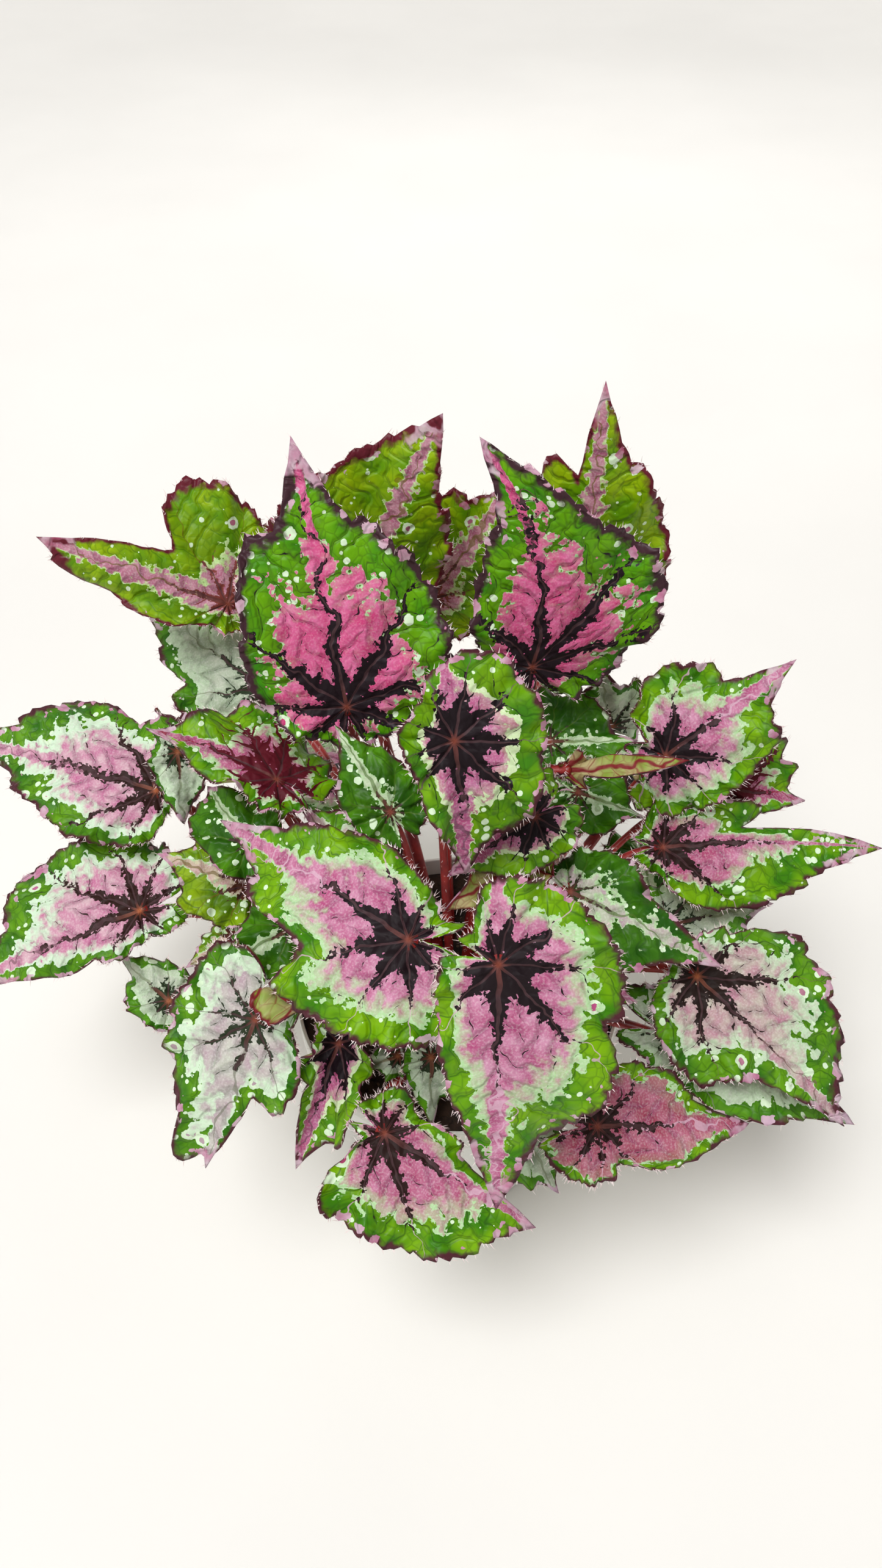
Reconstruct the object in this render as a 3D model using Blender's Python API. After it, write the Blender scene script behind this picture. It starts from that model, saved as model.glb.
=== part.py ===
"""A potted rex begonia: a plastic pot, its soil, and one solid for each leaf with its stalk.

Metres, +Z up. The origin is the middle of the pot's flat base. The front of the plant looks to -Y.
The leaves' places are in millimetres.
"""

import math

import bmesh
import bpy
import numpy as np
from mathutils import Matrix

MM = 0.001

# Pot: a tapered nursery pot with a stepped rim band
POT_HEIGHT = 130 * MM
RIM_RADIUS = 75 * MM
RIM_BAND = 14 * MM
RIM_STEP = 3 * MM
RIM_EDGE = 0.6 * MM
BASE_RADIUS = 53 * MM
BASE_EDGE = 1.5 * MM
POT_WALL = 1.6 * MM
POT_FLOOR = 2.5 * MM
POT_SIDES = 32
DRAIN_HOLES = 5
DRAIN_RADIUS = 5 * MM
DRAIN_CIRCLE = 30 * MM

# Soil: it fills the pot to a little under the rim
SOIL_BELOW_RIM = 11 * MM
SOIL_BUMP = 2.4 * MM
FIT_GAP = 0.3 * MM

# Stalks: each stands in a plain hole in the soil, in mm
HOLE_DEPTH = 14
HOLE_GAP = 0.35
HOLE_SIDES = 6
ROOT_SPACE = 9.0
CROWN_INNER = 5
CROWN_REACH = 37
STALK_BASE = 3.1
STALK_TOP = 2.1
NECK = 2.4

# Blades, in mm: a longer one has more corners round its edge and a thicker stalk
BLADE_THICK = 0.8
LONG_LEAF = 62
LONG = {"edge": 24, "sides": 6, "steps": 6, "stalk": 1.0}
SHORT = {"edge": 16, "sides": 5, "steps": 5, "stalk": 0.68}
RING_SHARES = (0.40, 0.73)
TOOTH = 0.035
NOTCH_HALF = math.radians(18)

POT_WHITE = (0.86, 0.87, 0.84)
SOIL_BROWN = (0.035, 0.022, 0.015)
LEAF_GREEN = (0.10, 0.30, 0.05)
LEAF_PINK = (0.62, 0.18, 0.36)
LEAF_SILVER = (0.48, 0.62, 0.45)

# What a leaf has unless its own row says otherwise:
#   face   which way its upper side looks
#   wide   its width against the usual, skew how much longer its right half is
#   heel   its basal lobes against the usual
#   notch  the bearing of the cut in from the edge in degrees from the tip, and cleft how deep it goes
#   lobes  swellings and dips of the edge: bearing, half width in degrees, and gain
#   fold   degrees that each half rises from the midrib, arch degrees that the midrib bends down
#   bow    how far the midrib swings to the right, as a share of the length
#   wave   height of the edge's waves in mm, waves how many, phase where they start in degrees
#   curl   an edge folded over: its bearing in degrees from the tip, start as a share of length, radius in mm
#   turn   degrees that the foot of the stalk stands round from the leaf, lean how far it leans out
#   meet   how the stalk comes to the leaf: from under it, and from behind it
USUAL = {
    "face": (0, -0.6, 1),
    "wide": 1.0,
    "skew": 0.0,
    "heel": 1.0,
    "notch": 180,
    "cleft": 0.72,
    "lobes": (),
    "fold": -6,
    "arch": 20,
    "bow": 0.0,
    "wave": 3.0,
    "waves": 6,
    "phase": 0,
    "curl": None,
    "turn": 0,
    "lean": 0.35,
    "meet": (0.75, 0.55),
    "tone": "green",
}

LEAVES = {
    # The tall leaves behind
    "leaf_01": dict(
        hub=(-48, 61, 250), tip=(-67, 114, 345), face=(0.2, -1, 0.8), skew=0.12, heel=0.5,
        lobes=((-22, 10, 0.14), (-90, 20, -0.12)), fold=2, tone="pink",
    ),
    "leaf_02": dict(
        hub=(32, 84, 252), tip=(7, 101, 352), face=(-0.2, -1, 0.7), skew=0.3, heel=0.6,
        lobes=((-95, 25, -0.5), (8, 5, 0.12), (32, 12, -0.08)), bow=0.12, tone="pink",
    ),
    "leaf_03": dict(
        hub=(-51, 135, 250), tip=(-7, 140, 344), face=(0.2, -1, 0.5), skew=-0.15, lobes=((-12, 8, 0.08),),
    ),
    "leaf_04": dict(
        hub=(58, 138, 250), tip=(60, 150, 350), face=(0, -1, 0.5), wide=0.9, skew=0.1,
        lobes=((-7, 4, -0.2), (-16, 6, 0.08), (40, 20, -0.06)), turn=6,
    ),
    "leaf_05": dict(hub=(-12, 152, 236), tip=(25, 155, 300), face=(0, -1, 0.8), lobes=((-22, 14, 0.14),)),
    # The left side
    "leaf_06": dict(
        hub=(-110, 142, 240), tip=(-199, 146, 279), face=(0, -1, 0.8), skew=0.15,
        lobes=((24, 14, -0.45), (65, 22, 0.2), (-8, 5, 0.2), (-65, 45, -0.6), (-130, 40, -0.5)), lean=0.1,
    ),
    "leaf_07": dict(
        hub=(-96, 128, 197), tip=(-163, 176, 217), face=(0, -0.8, 1), wide=1.1, skew=-0.15,
        lobes=((-33, 12, -0.25), (-90, 30, -0.35)), tone="silver",
    ),
    "leaf_08": dict(
        hub=(-141, 67, 190), tip=(-241, 101, 190), face=(0, -0.4, 1), wide=1.1, skew=0.06, heel=0.6,
        lobes=((-80, 45, -0.3), (-30, 12, -0.1), (-140, 25, -0.5), (57, 18, -0.32), (95, 20, -0.2), (150, 35, -0.7)),
        curl=(134, 0.12, 6), tone="pink",
    ),
    "leaf_09": dict(
        hub=(-147, 21, 158), tip=(-233, 0, 125), face=(-0.2, -0.4, 1), wide=0.9, skew=0.3, heel=0.8,
        lobes=((45, 20, 0.15), (-30, 14, -0.3), (-80, 40, -0.4)), tone="pink",
    ),
    "leaf_10": dict(
        hub=(-79, 43, 224), tip=(-141, 63, 240), face=(0, 0.1, 1), wide=1.3,
        lobes=((65, 25, 0.25), (-60, 45, -0.55), (-130, 45, -0.4)), meet=(0.95, 0.25), tone="pink",
    ),
    "leaf_11": dict(hub=(-127, 68, 215), tip=(-124, 46, 190), tone="silver"),
    "leaf_12": dict(
        hub=(-96, 26, 171), tip=(-137, 38, 178), face=(0, -0.5, 1), wide=1.3, heel=0.8,
        lobes=((-35, 15, 0.1),), turn=-6,
    ),
    "leaf_13": dict(
        hub=(-92, 26, 201), tip=(-114, 57, 205), face=(0, -0.5, 1), wide=1.2, lobes=((-25, 20, 0.3),),
    ),
    "leaf_14": dict(hub=(-102, 8, 156), tip=(-123, -2, 146), face=(0, -0.5, 1), wave=2, turn=12),
    "leaf_15": dict(hub=(-73, -4, 180), tip=(-104, -17, 165), face=(0, -0.5, 1), wide=1.2),
    # The middle
    "leaf_16": dict(
        hub=(-20, -47, 234), tip=(-98, 13, 232), skew=-0.32, notch=150, cleft=0.85,
        lobes=((-33, 12, -0.33), (80, 30, -0.22), (115, 18, -0.4), (-100, 60, -0.14), (175, 25, -0.4)),
        tone="pink",
    ),
    "leaf_17": dict(
        hub=(12, -71, 254), tip=(13, -119, 158), wide=0.85, skew=-0.3, heel=0.8, notch=112,
        lobes=((35, 25, -0.2), (75, 30, -0.15), (-57, 9, -0.13), (144, 18, -0.35)), turn=5, tone="pink",
    ),
    "leaf_18": dict(
        hub=(-3, 2, 290), tip=(2, -18, 235), face=(0.1, -0.6, 1), wide=1.15, skew=-0.25, heel=1.45,
        cleft=0, lobes=((45, 24, -0.25), (140, 30, -0.3), (-125, 20, -0.15)), fold=8, tone="pink",
    ),
    "leaf_19": dict(hub=(-37, 15, 199), tip=(-70, 43, 202), wide=1.2, heel=0.6, tone="silver"),
    "leaf_20": dict(hub=(-29, 21, 228), tip=(-52, 49, 250), meet=(0.6, 0.9)),
    "leaf_21": dict(
        hub=(30, 11, 237), tip=(-6, -9, 223), wide=1.15, heel=1.2, turn=15, meet=(1, 0.1), tone="pink",
    ),
    "leaf_22": dict(
        hub=(25, 3, 216), tip=(-7, -20, 216), face=(0, 0.6, -1), lobes=((-80, 50, -0.55),), turn=10,
        meet=(0.15, 1),
    ),
    # The right side
    "leaf_23": dict(
        hub=(90, 53, 228), tip=(140, 70, 268), face=(0, -0.8, 1), wide=1.15,
        lobes=((-60, 20, 0.15), (-108, 35, -0.5), (-15, 8, -0.1), (30, 15, 0.1)), curl=(-135, 0.1, 5),
        turn=5, meet=(1, 0.3), tone="pink",
    ),
    "leaf_24": dict(
        hub=(121, 55, 205), tip=(159, 52, 200), face=(0, -0.8, 1), wide=1.4,
        lobes=((-25, 7, 0.3), (-47, 7, 0.4), (45, 30, -0.4), (100, 30, -0.4)), tone="pink",
    ),
    "leaf_25": dict(
        hub=(90, 28, 196), tip=(193, 33, 188), wide=0.65, heel=0.4,
        lobes=((-11, 6, -0.38), (-45, 30, -0.35), (98, 25, -0.4)), bow=-0.02, meet=(0.5, 0.8), tone="pink",
    ),
    "leaf_26": dict(
        hub=(95, 11, 161), tip=(144, 24, 159), face=(0, -0.5, 1), lobes=((-20, 15, 0.2),), tone="silver",
    ),
    "leaf_27": dict(hub=(90, 61, 150), tip=(96, 21, 140), face=(0.2, -0.5, 1), wide=1.2, turn=10),
    "leaf_28": dict(
        hub=(102, -22, 170), tip=(159, -72, 138), face=(0.1, -0.5, 1), wide=1.3, skew=-0.15, heel=0.4,
        lobes=((-97, 18, -0.35), (-15, 12, 0.2), (24, 14, -0.16), (88, 20, -0.12)), tone="silver",
    ),
    "leaf_29": dict(
        hub=(96, -36, 142), tip=(175, -65, 118), face=(0.1, -0.4, 1), skew=-0.2,
        lobes=((-130, 25, -0.25), (60, 30, -0.3), (125, 30, -0.35)), tone="silver",
    ),
    # The front
    "leaf_30": dict(
        hub=(56, -81, 150), tip=(123, -70, 130), face=(0, -0.5, 1), wide=0.9,
        lobes=((58, 22, -0.4), (35, 12, -0.1)), tone="pink",
    ),
    "leaf_31": dict(hub=(25, -78, 137), tip=(41, -95, 119), face=(0, -0.5, 1), wide=1.5, tone="silver"),
    "leaf_32": dict(hub=(52, -29, 180), tip=(76, -36, 172), face=(0, -0.5, 1), tone="pink"),
    "leaf_33": dict(
        hub=(-31, -82, 146), tip=(46, -117, 114), skew=0.1, heel=0.5,
        lobes=((-55, 45, -0.6), (-12, 12, -0.25), (100, 12, 0.2), (138, 18, -0.5)), curl=(140, 0.2, 6),
        meet=(0.6, 0.8), tone="pink",
    ),
    "leaf_34": dict(
        hub=(-86, -41, 166), tip=(-107, -84, 122), face=(-0.1, -0.6, 1), wide=1.3, skew=0.1, heel=1.2,
        lobes=((-95, 30, -0.45), (-18, 8, -0.25), (11, 6, 0.45)), curl=(-150, 0.12, 6), tone="silver",
    ),
    "leaf_35": dict(hub=(-133, -11, 132), tip=(-161, 15, 128), face=(0, -0.4, 1), tone="silver"),
    "leaf_36": dict(
        hub=(-52, -42, 148), tip=(-71, -79, 106), wide=0.75, skew=-0.25,
        lobes=((26, 12, -0.3), (-38, 15, 0.2)), fold=50, tone="pink",
    ),
    "leaf_37": dict(hub=(-26, -49, 150), tip=(-40, -52, 145), wide=1.5, tone="silver"),
    "leaf_38": dict(hub=(-12, -54, 158), tip=(-11, -71, 133), tone="silver"),
    # Small leaves between the others
    "leaf_39": dict(
        hub=(46, -3, 205), tip=(108, -28, 187), wide=0.85, heel=0.6, lobes=((-30, 15, -0.2),), turn=-50,
    ),
    "leaf_40": dict(hub=(75, 105, 194), tip=(66, 106, 232), face=(0, -1, 0.7), wide=1.45, tone="silver"),
    "leaf_41": dict(hub=(43, 84, 205), tip=(83, 84, 205), wide=1.6, heel=1.3, turn=-5, meet=(1, 0)),
    "leaf_42": dict(
        hub=(44, 39, 234), tip=(101, 26, 256), face=(0, 0.6, -1), wide=0.12, heel=0.35,
        lobes=((-25, 18, -0.6), (25, 18, -0.6)), turn=10, meet=(0.15, 1),
    ),
    "leaf_43": dict(hub=(54, 54, 203), tip=(84, 44, 198), wide=1.4, turn=5),
    # The back
    "leaf_44": dict(hub=(-62, 112, 150), tip=(-112, 170, 110), face=(-0.4, 0.6, 1), tone="pink"),
    "leaf_45": dict(hub=(22, 118, 155), tip=(32, 190, 115), face=(0, 0.7, 1), tone="silver"),
    "leaf_46": dict(hub=(86, 114, 148), tip=(134, 160, 110), face=(0.4, 0.6, 1), turn=-8, tone="pink"),
}


def clear_scene():
    """Start from an empty scene."""
    for thing in list(bpy.data.objects):
        bpy.data.objects.remove(thing, do_unlink=True)


def material(name, colour, roughness):
    """A plain finish for one sub-part."""
    finish = bpy.data.materials.new(name)
    finish.use_nodes = True
    shader = finish.node_tree.nodes["Principled BSDF"]
    shader.inputs["Base Color"].default_value = (*colour, 1.0)
    shader.inputs["Roughness"].default_value = roughness
    shader.inputs["Metallic"].default_value = 0.0
    finish.diffuse_color = (*colour, 1.0)
    return finish


def place(name, bm, finish=None):
    """Turn a bmesh into an object of the scene."""
    mesh = bpy.data.meshes.new(name)
    bm.to_mesh(mesh)
    bm.free()
    thing = bpy.data.objects.new(name, mesh)
    bpy.context.collection.objects.link(thing)
    if finish:
        mesh.materials.append(finish)
    return thing


def cut(body, cutter):
    """Cut a cutter's shape out of a body, and drop the cutter."""
    change = body.modifiers.new("cut", "BOOLEAN")
    change.object = cutter
    change.operation = "DIFFERENCE"
    change.solver = "EXACT"
    graph = bpy.context.evaluated_depsgraph_get()
    mesh = bpy.data.meshes.new_from_object(body.evaluated_get(graph))
    body.modifiers.clear()
    body.data = mesh
    bpy.data.objects.remove(cutter, do_unlink=True)


def cylinder(centre, radius, height, sides):
    """A plain cylinder standing on Z, for a cutter."""
    bm = bmesh.new()
    bmesh.ops.create_cone(
        bm, cap_ends=True, segments=sides, radius1=radius, radius2=radius, depth=height,
        matrix=Matrix.Translation(centre),
    )
    return place("cutter", bm)


def turned(profile, sides):
    """A closed profile of (radius, height) pairs, spun round the pot's axis."""
    bm = bmesh.new()
    corners = [bm.verts.new((radius, 0.0, height)) for radius, height in profile]
    edges = [bm.edges.new(pair) for pair in zip(corners, corners[1:])]
    bmesh.ops.spin(
        bm, geom=corners + edges, cent=(0, 0, 0), axis=(0, 0, 1), angle=math.tau, steps=sides, use_merge=True
    )
    bmesh.ops.remove_doubles(bm, verts=bm.verts, dist=1e-6)
    bmesh.ops.recalc_face_normals(bm, faces=bm.faces)
    return bm


def smooth_shade(thing):
    """Round faces look round, edges stay crisp."""
    thing.data.shade_smooth()
    thing.data.set_sharp_from_angle(angle=math.radians(40))


def wall_radius(height):
    """Outer radius of the pot's tapered wall under the rim band."""
    top = RIM_RADIUS - RIM_STEP
    return BASE_RADIUS + (top - BASE_RADIUS) * height / (POT_HEIGHT - RIM_BAND)


def make_pot(finish):
    """The pot: flat base, tapered wall, a stepped rim band and drain holes."""
    under = POT_HEIGHT - RIM_BAND
    inner_top = RIM_RADIUS - POT_WALL
    profile = [
        (0.0, 0.0),
        (BASE_RADIUS - BASE_EDGE, 0.0),
        (BASE_RADIUS, BASE_EDGE),
        (wall_radius(under), under),
        (RIM_RADIUS, under),
        (RIM_RADIUS, POT_HEIGHT - RIM_EDGE),
        (RIM_RADIUS - RIM_EDGE, POT_HEIGHT),
        (inner_top, POT_HEIGHT),
        (inner_top, under + POT_WALL),
        (wall_radius(under) - POT_WALL, under - POT_WALL),
        (wall_radius(POT_FLOOR) - POT_WALL, POT_FLOOR),
        (0.0, POT_FLOOR),
    ]
    pot = place("pot", turned(profile, POT_SIDES), finish)
    for hole in range(DRAIN_HOLES):
        bearing = math.tau * (hole + 0.5) / DRAIN_HOLES
        centre = (DRAIN_CIRCLE * math.cos(bearing), DRAIN_CIRCLE * math.sin(bearing), POT_FLOOR / 2)
        cut(pot, cylinder(centre, DRAIN_RADIUS, 3 * POT_FLOOR, 10))
    smooth_shade(pot)


def make_soil(finish, leaves):
    """The soil: a slightly domed filling of the pot with a hole for each stalk."""
    under = POT_HEIGHT - RIM_BAND
    level = POT_HEIGHT - SOIL_BELOW_RIM
    inner_top = RIM_RADIUS - POT_WALL - FIT_GAP
    inner = POT_WALL + 2 * FIT_GAP
    profile = [
        (0.0, POT_FLOOR + FIT_GAP),
        (wall_radius(POT_FLOOR) - inner, POT_FLOOR + FIT_GAP),
        (wall_radius(under) - inner, under - POT_WALL),
        (inner_top, under + POT_WALL + 2 * FIT_GAP),
        (inner_top, level),
        (inner_top * 0.7, level + SOIL_BUMP / 2),
        (0.0, level + SOIL_BUMP),
    ]
    soil = place("soil", turned(profile, POT_SIDES), finish)
    for leaf in leaves:
        radius = (leaf["build"]["stalk"] * STALK_BASE + HOLE_GAP) / math.cos(math.pi / HOLE_SIDES)
        x, y, top = leaf["root"] * MM
        centre = (x, y, top + FIT_GAP - HOLE_GAP * MM)
        cut(soil, cylinder(centre, radius * MM, 2 * HOLE_DEPTH * MM, HOLE_SIDES))
    smooth_shade(soil)


def ease(share):
    """Rises smoothly from 0 to 1."""
    share = np.clip(share, 0.0, 1.0)
    return share * share * (3 - 2 * share)


def apart_from(theta, degrees):
    """How far bearings lie from one given in degrees."""
    return np.abs(np.angle(np.exp(1j * (theta - math.radians(degrees)))))


def edge_reach(leaf, theta):
    """How far the edge lies from the hub in the flat leaf, as a share of its length."""
    part = np.abs(theta) / math.pi
    reach = 0.36 + 0.34 * np.exp(-((part / 0.29) ** 2)) + 0.30 * np.exp(-part / 0.03)
    reach = reach * (1 + (leaf["wide"] - 1) * np.abs(np.sin(theta)) ** 1.2)
    reach = reach * (1 + leaf["skew"] * np.sin(theta))
    reach = reach * (1 + (leaf["heel"] - 1) * ease((part - 0.4) / 0.4))
    for bearing, half, gain in leaf["lobes"]:
        reach = reach * (1 + gain * np.exp(-((apart_from(theta, bearing) / math.radians(half)) ** 2)))
    return reach * (1 - leaf["cleft"] * ease(1 - apart_from(theta, leaf["notch"]) / NOTCH_HALF))


def leaf_axes(leaf):
    """Hub, the three axes of the leaf and its length along the midrib."""
    hub = np.array(leaf["hub"], float)
    along = np.array(leaf["tip"], float) - hub
    chord = np.linalg.norm(along)
    along /= chord
    face = np.array(leaf["face"], float)
    face -= along * (face @ along)
    face /= np.linalg.norm(face)
    half = math.radians(leaf["arch"]) / 2
    return hub, np.cross(along, face), along, face, chord * half / math.sin(half)


def leaf_surface(leaf, theta, share):
    """Places on the upper side, theta from the tip and share of the way from hub to edge."""
    hub, across, along, face, length = leaf_axes(leaf)
    reach = edge_reach(leaf, theta) * length * share
    u, v = reach * np.sin(theta), reach * np.cos(theta)
    w = leaf["wave"] * share**2.2 * np.sin(leaf["waves"] * theta + math.radians(leaf["phase"]))
    w = w * ease(apart_from(theta, leaf["notch"]) / 0.5 + 0.15)
    # Each half folds about the midrib
    lift = math.radians(leaf["fold"]) * np.abs(u) / (np.abs(u) + 0.06 * length)
    u, w = u * np.cos(lift) - w * np.sin(lift) * np.sign(u), w * np.cos(lift) + np.abs(u) * np.sin(lift)
    # One edge may fold over
    if leaf["curl"]:
        bearing, start, radius = leaf["curl"]
        cx, cy = math.sin(math.radians(bearing)), math.cos(math.radians(bearing))
        beyond = u * cx + v * cy - start * length
        angle = np.clip(beyond / radius, 0, math.pi)
        flap = np.clip(beyond - math.pi * radius, 0, None)
        shift = np.where(beyond > 0, (radius - w) * np.sin(angle) - flap - beyond, 0.0)
        w = np.where(beyond > 0, radius - (radius - w) * np.cos(angle), w)
        u, v = u + cx * shift, v + cy * shift
    # The midrib swings to one side, then arches
    part = np.clip(v / length, 0, 1)
    u = u + leaf["bow"] * length * 4 * (part - part * part)
    bend = math.radians(leaf["arch"])
    turn = bend * v / length
    ahead = length / bend * np.sin(turn) + w * np.sin(turn)
    above = length / bend * (np.cos(turn) - 1) + w * np.cos(turn)
    half = bend / 2
    v = ahead * math.cos(half) - above * math.sin(half)
    w = ahead * math.sin(half) + above * math.cos(half)
    return hub + u[..., None] * across + v[..., None] * along + w[..., None] * face


def ring_bearings(count):
    """Bearings round the hub, from the notch by way of the tip."""
    return np.linspace(-math.pi, math.pi, count, endpoint=False)


def new_ring(bm, places):
    """Corners at places given in mm."""
    return [bm.verts.new(place * MM) for place in places]


def join_rings(bm, inner, outer):
    """Triangles between two closed rings, or from one middle corner to a ring."""
    steps = len(inner) if len(inner) > 1 else 0
    i = j = 0
    while i < steps or j < len(outer):
        a, b = inner[i % len(inner)], outer[j % len(outer)]
        if steps and (i + 0.5) / steps < (j + 0.5) / len(outer):
            i += 1
            bm.faces.new((a, b, inner[i % len(inner)]))
        else:
            j += 1
            bm.faces.new((a, b, outer[j % len(outer)]))


def make_blade(bm, leaf):
    """Rings of the blade's upper and lower sides, split alike; gives the lower side's inner ring."""
    edge = leaf["build"]["edge"]
    hub = new_ring(bm, leaf_surface(leaf, np.zeros(1), np.zeros(1)))
    teeth = 1 + TOOTH * np.where(np.arange(edge) % 2, -1, 1)
    rings = [
        new_ring(bm, leaf_surface(leaf, ring_bearings(edge // 2), np.full(edge // 2, RING_SHARES[0]))),
        new_ring(bm, leaf_surface(leaf, ring_bearings(edge), np.full(edge, RING_SHARES[1]))),
        new_ring(bm, leaf_surface(leaf, ring_bearings(edge), teeth / (1 + TOOTH))),
    ]
    join_rings(bm, hub, rings[0])
    join_rings(bm, rings[0], rings[1])
    join_rings(bm, rings[1], rings[2])
    bm.normal_update()
    # The rings run so that the faces' normals point down
    lower = [[bm.verts.new(v.co + v.normal * BLADE_THICK * MM) for v in ring] for ring in rings]
    join_rings(bm, lower[0], lower[1])
    join_rings(bm, lower[1], lower[2])
    join_rings(bm, rings[2], lower[2])
    return lower[0]


def stalk_line(leaf):
    """Places down the middle of the stalk, from under the hub to the bottom of its hole."""
    hub, across, along, face, length = leaf_axes(leaf)
    neck = hub - face * NECK
    root = leaf["root"]
    reach = np.linalg.norm(neck - root)
    out = (neck - root) * (1, 1, 0)
    rise = np.array([0, 0, 1.0]) + leaf["lean"] * out / max(np.linalg.norm(out), 1.0)
    rise /= np.linalg.norm(rise)
    last = face * leaf["meet"][0] + along * leaf["meet"][1]
    last /= np.linalg.norm(last)
    a, b = neck - last * reach * 0.3, root + rise * reach * 0.4
    t = np.linspace(0, 1, leaf["build"]["steps"])[:, None]
    line = (1 - t) ** 3 * neck + 3 * (1 - t) ** 2 * t * a + 3 * (1 - t) * t * t * b + t**3 * root
    return np.vstack([line, root - np.array([0, 0, HOLE_DEPTH])])


def make_stalk(bm, leaf):
    """The stalk's rings, from under the hub down; gives its top ring."""
    hub, side, along, way, length = leaf_axes(leaf)
    line = stalk_line(leaf)
    bearings = ring_bearings(leaf["build"]["sides"])
    radii = leaf["build"]["stalk"] * np.linspace(STALK_TOP, STALK_BASE, len(line) - 1)
    radii = [*radii, radii[-1]]
    rings = []
    for i, middle in enumerate(line):
        if i:
            way = line[i - 1] - line[min(i + 1, len(line) - 1)]
        way = way / np.linalg.norm(way)
        side = side - way * (side @ way)
        side = side / np.linalg.norm(side)
        spoke = np.outer(np.sin(bearings), side) + np.outer(np.cos(bearings), np.cross(way, side))
        rings.append(new_ring(bm, middle + radii[i] * spoke))
    for upper, lower in zip(rings, rings[1:]):
        join_rings(bm, upper, lower)
    bm.faces.new(rings[-1])
    return rings[0]


def make_leaf(name, leaf, finish):
    """One leaf: its waved, toothed blade and the stalk that it grows on, as one solid."""
    bm = bmesh.new()
    lower = make_blade(bm, leaf)
    join_rings(bm, make_stalk(bm, leaf), lower)
    bmesh.ops.recalc_face_normals(bm, faces=bm.faces)
    smooth_shade(place(name, bm, finish))


def crown_root(leaf):
    """Where the stalk leaves the soil: outer and lower leaves stand further out."""
    x, y, z = leaf["hub"]
    top = (POT_HEIGHT - SOIL_BELOW_RIM + SOIL_BUMP) / MM
    steep = math.atan2(z - top, math.hypot(x, y)) / (math.pi / 2)
    bearing = math.atan2(y, x) + math.radians(leaf["turn"])
    radius = CROWN_INNER + CROWN_REACH * (1 - steep)
    return np.array([radius * math.cos(bearing), radius * math.sin(bearing), top])


def spread_roots(leaves):
    """Push the roots apart until no two stand closer than their space."""
    for leaf in leaves:
        leaf["root"] = crown_root(leaf)
    pairs = [(a, b) for i, a in enumerate(leaves) for b in leaves[:i]]
    for _ in range(80):
        for a, b in pairs:
            apart = a["root"] - b["root"]
            distance = np.linalg.norm(apart)
            if distance < ROOT_SPACE:
                push = apart / distance * (ROOT_SPACE - distance) / 2
                a["root"] = a["root"] + push
                b["root"] = b["root"] - push


def full_rows():
    """Every leaf's row with its usual values, its build and its root filled in."""
    leaves = {name: {**USUAL, **row} for name, row in LEAVES.items()}
    for leaf in leaves.values():
        leaf["build"] = LONG if leaf_axes(leaf)[4] > LONG_LEAF else SHORT
    spread_roots(list(leaves.values()))
    return leaves


def main():
    clear_scene()
    plastic = material("white_plastic", POT_WHITE, 0.45)
    peat = material("potting_soil", SOIL_BROWN, 0.95)
    tones = {
        "green": material("leaf_green", LEAF_GREEN, 0.5),
        "pink": material("leaf_pink", LEAF_PINK, 0.5),
        "silver": material("leaf_silver", LEAF_SILVER, 0.45),
    }
    leaves = full_rows()
    make_pot(plastic)
    make_soil(peat, leaves.values())
    for name, leaf in leaves.items():
        make_leaf(name, leaf, tones[leaf["tone"]])


main()
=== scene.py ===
import math
import random

import bmesh
import bpy
import numpy as np
from mathutils import Matrix, Vector, noise


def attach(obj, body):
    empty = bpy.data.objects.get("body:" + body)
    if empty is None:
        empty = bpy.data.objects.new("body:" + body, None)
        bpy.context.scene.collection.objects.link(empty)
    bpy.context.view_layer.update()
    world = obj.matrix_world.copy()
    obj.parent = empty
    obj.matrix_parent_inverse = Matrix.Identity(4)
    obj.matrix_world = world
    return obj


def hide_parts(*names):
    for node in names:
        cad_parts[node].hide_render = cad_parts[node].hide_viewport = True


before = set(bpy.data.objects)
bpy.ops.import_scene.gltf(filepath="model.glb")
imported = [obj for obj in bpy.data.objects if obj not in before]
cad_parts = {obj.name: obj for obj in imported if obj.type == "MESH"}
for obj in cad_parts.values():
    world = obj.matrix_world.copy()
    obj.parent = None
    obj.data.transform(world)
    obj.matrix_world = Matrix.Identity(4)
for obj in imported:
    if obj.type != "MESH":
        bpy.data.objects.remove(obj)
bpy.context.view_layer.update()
mm = 0.001
perMm = 0.01  # on the leaves' flat map, which has 1 for 100 mm


def linear(code):
    parts = [int(code[i:i + 2], 16) / 255 for i in (1, 3, 5)]
    return (*[p / 12.92 if p <= 0.04045 else ((p + 0.055) / 1.055) ** 2.4 for p in parts], 1.0)


def addNode(tree, kind, inputs=(), **settings):
    node = tree.nodes.new(kind)
    for name, value in settings.items():
        setattr(node, name, value)
    for key, value in inputs.items() if isinstance(inputs, dict) else enumerate(inputs):
        if isinstance(value, bpy.types.Node):
            value = value.outputs[0]
        if isinstance(value, bpy.types.NodeSocket):
            tree.links.new(value, node.inputs[key])
        else:
            node.inputs[key].default_value = linear(value) if isinstance(value, str) else value
    return node


def unit(way):
    return way / np.linalg.norm(way)


def addThing(name, data):
    thing = bpy.data.objects.new(name, data)
    bpy.context.collection.objects.link(thing)
    return thing


def meshOf(bm, name, finishes=()):
    mesh = bpy.data.meshes.new(name)
    bm.to_mesh(mesh)
    bm.free()
    for finish in finishes:
        mesh.materials.append(finish)
    return mesh


def weld(bm, verts):
    bmesh.ops.remove_doubles(bm, verts=verts, dist=1e-6)


def appliedMesh(thing):
    graph = bpy.context.evaluated_depsgraph_get()
    return bpy.data.meshes.new_from_object(thing.evaluated_get(graph))


# Camera: it looks down by 48 degrees, from about 0.55 m off the pot's rim

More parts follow.
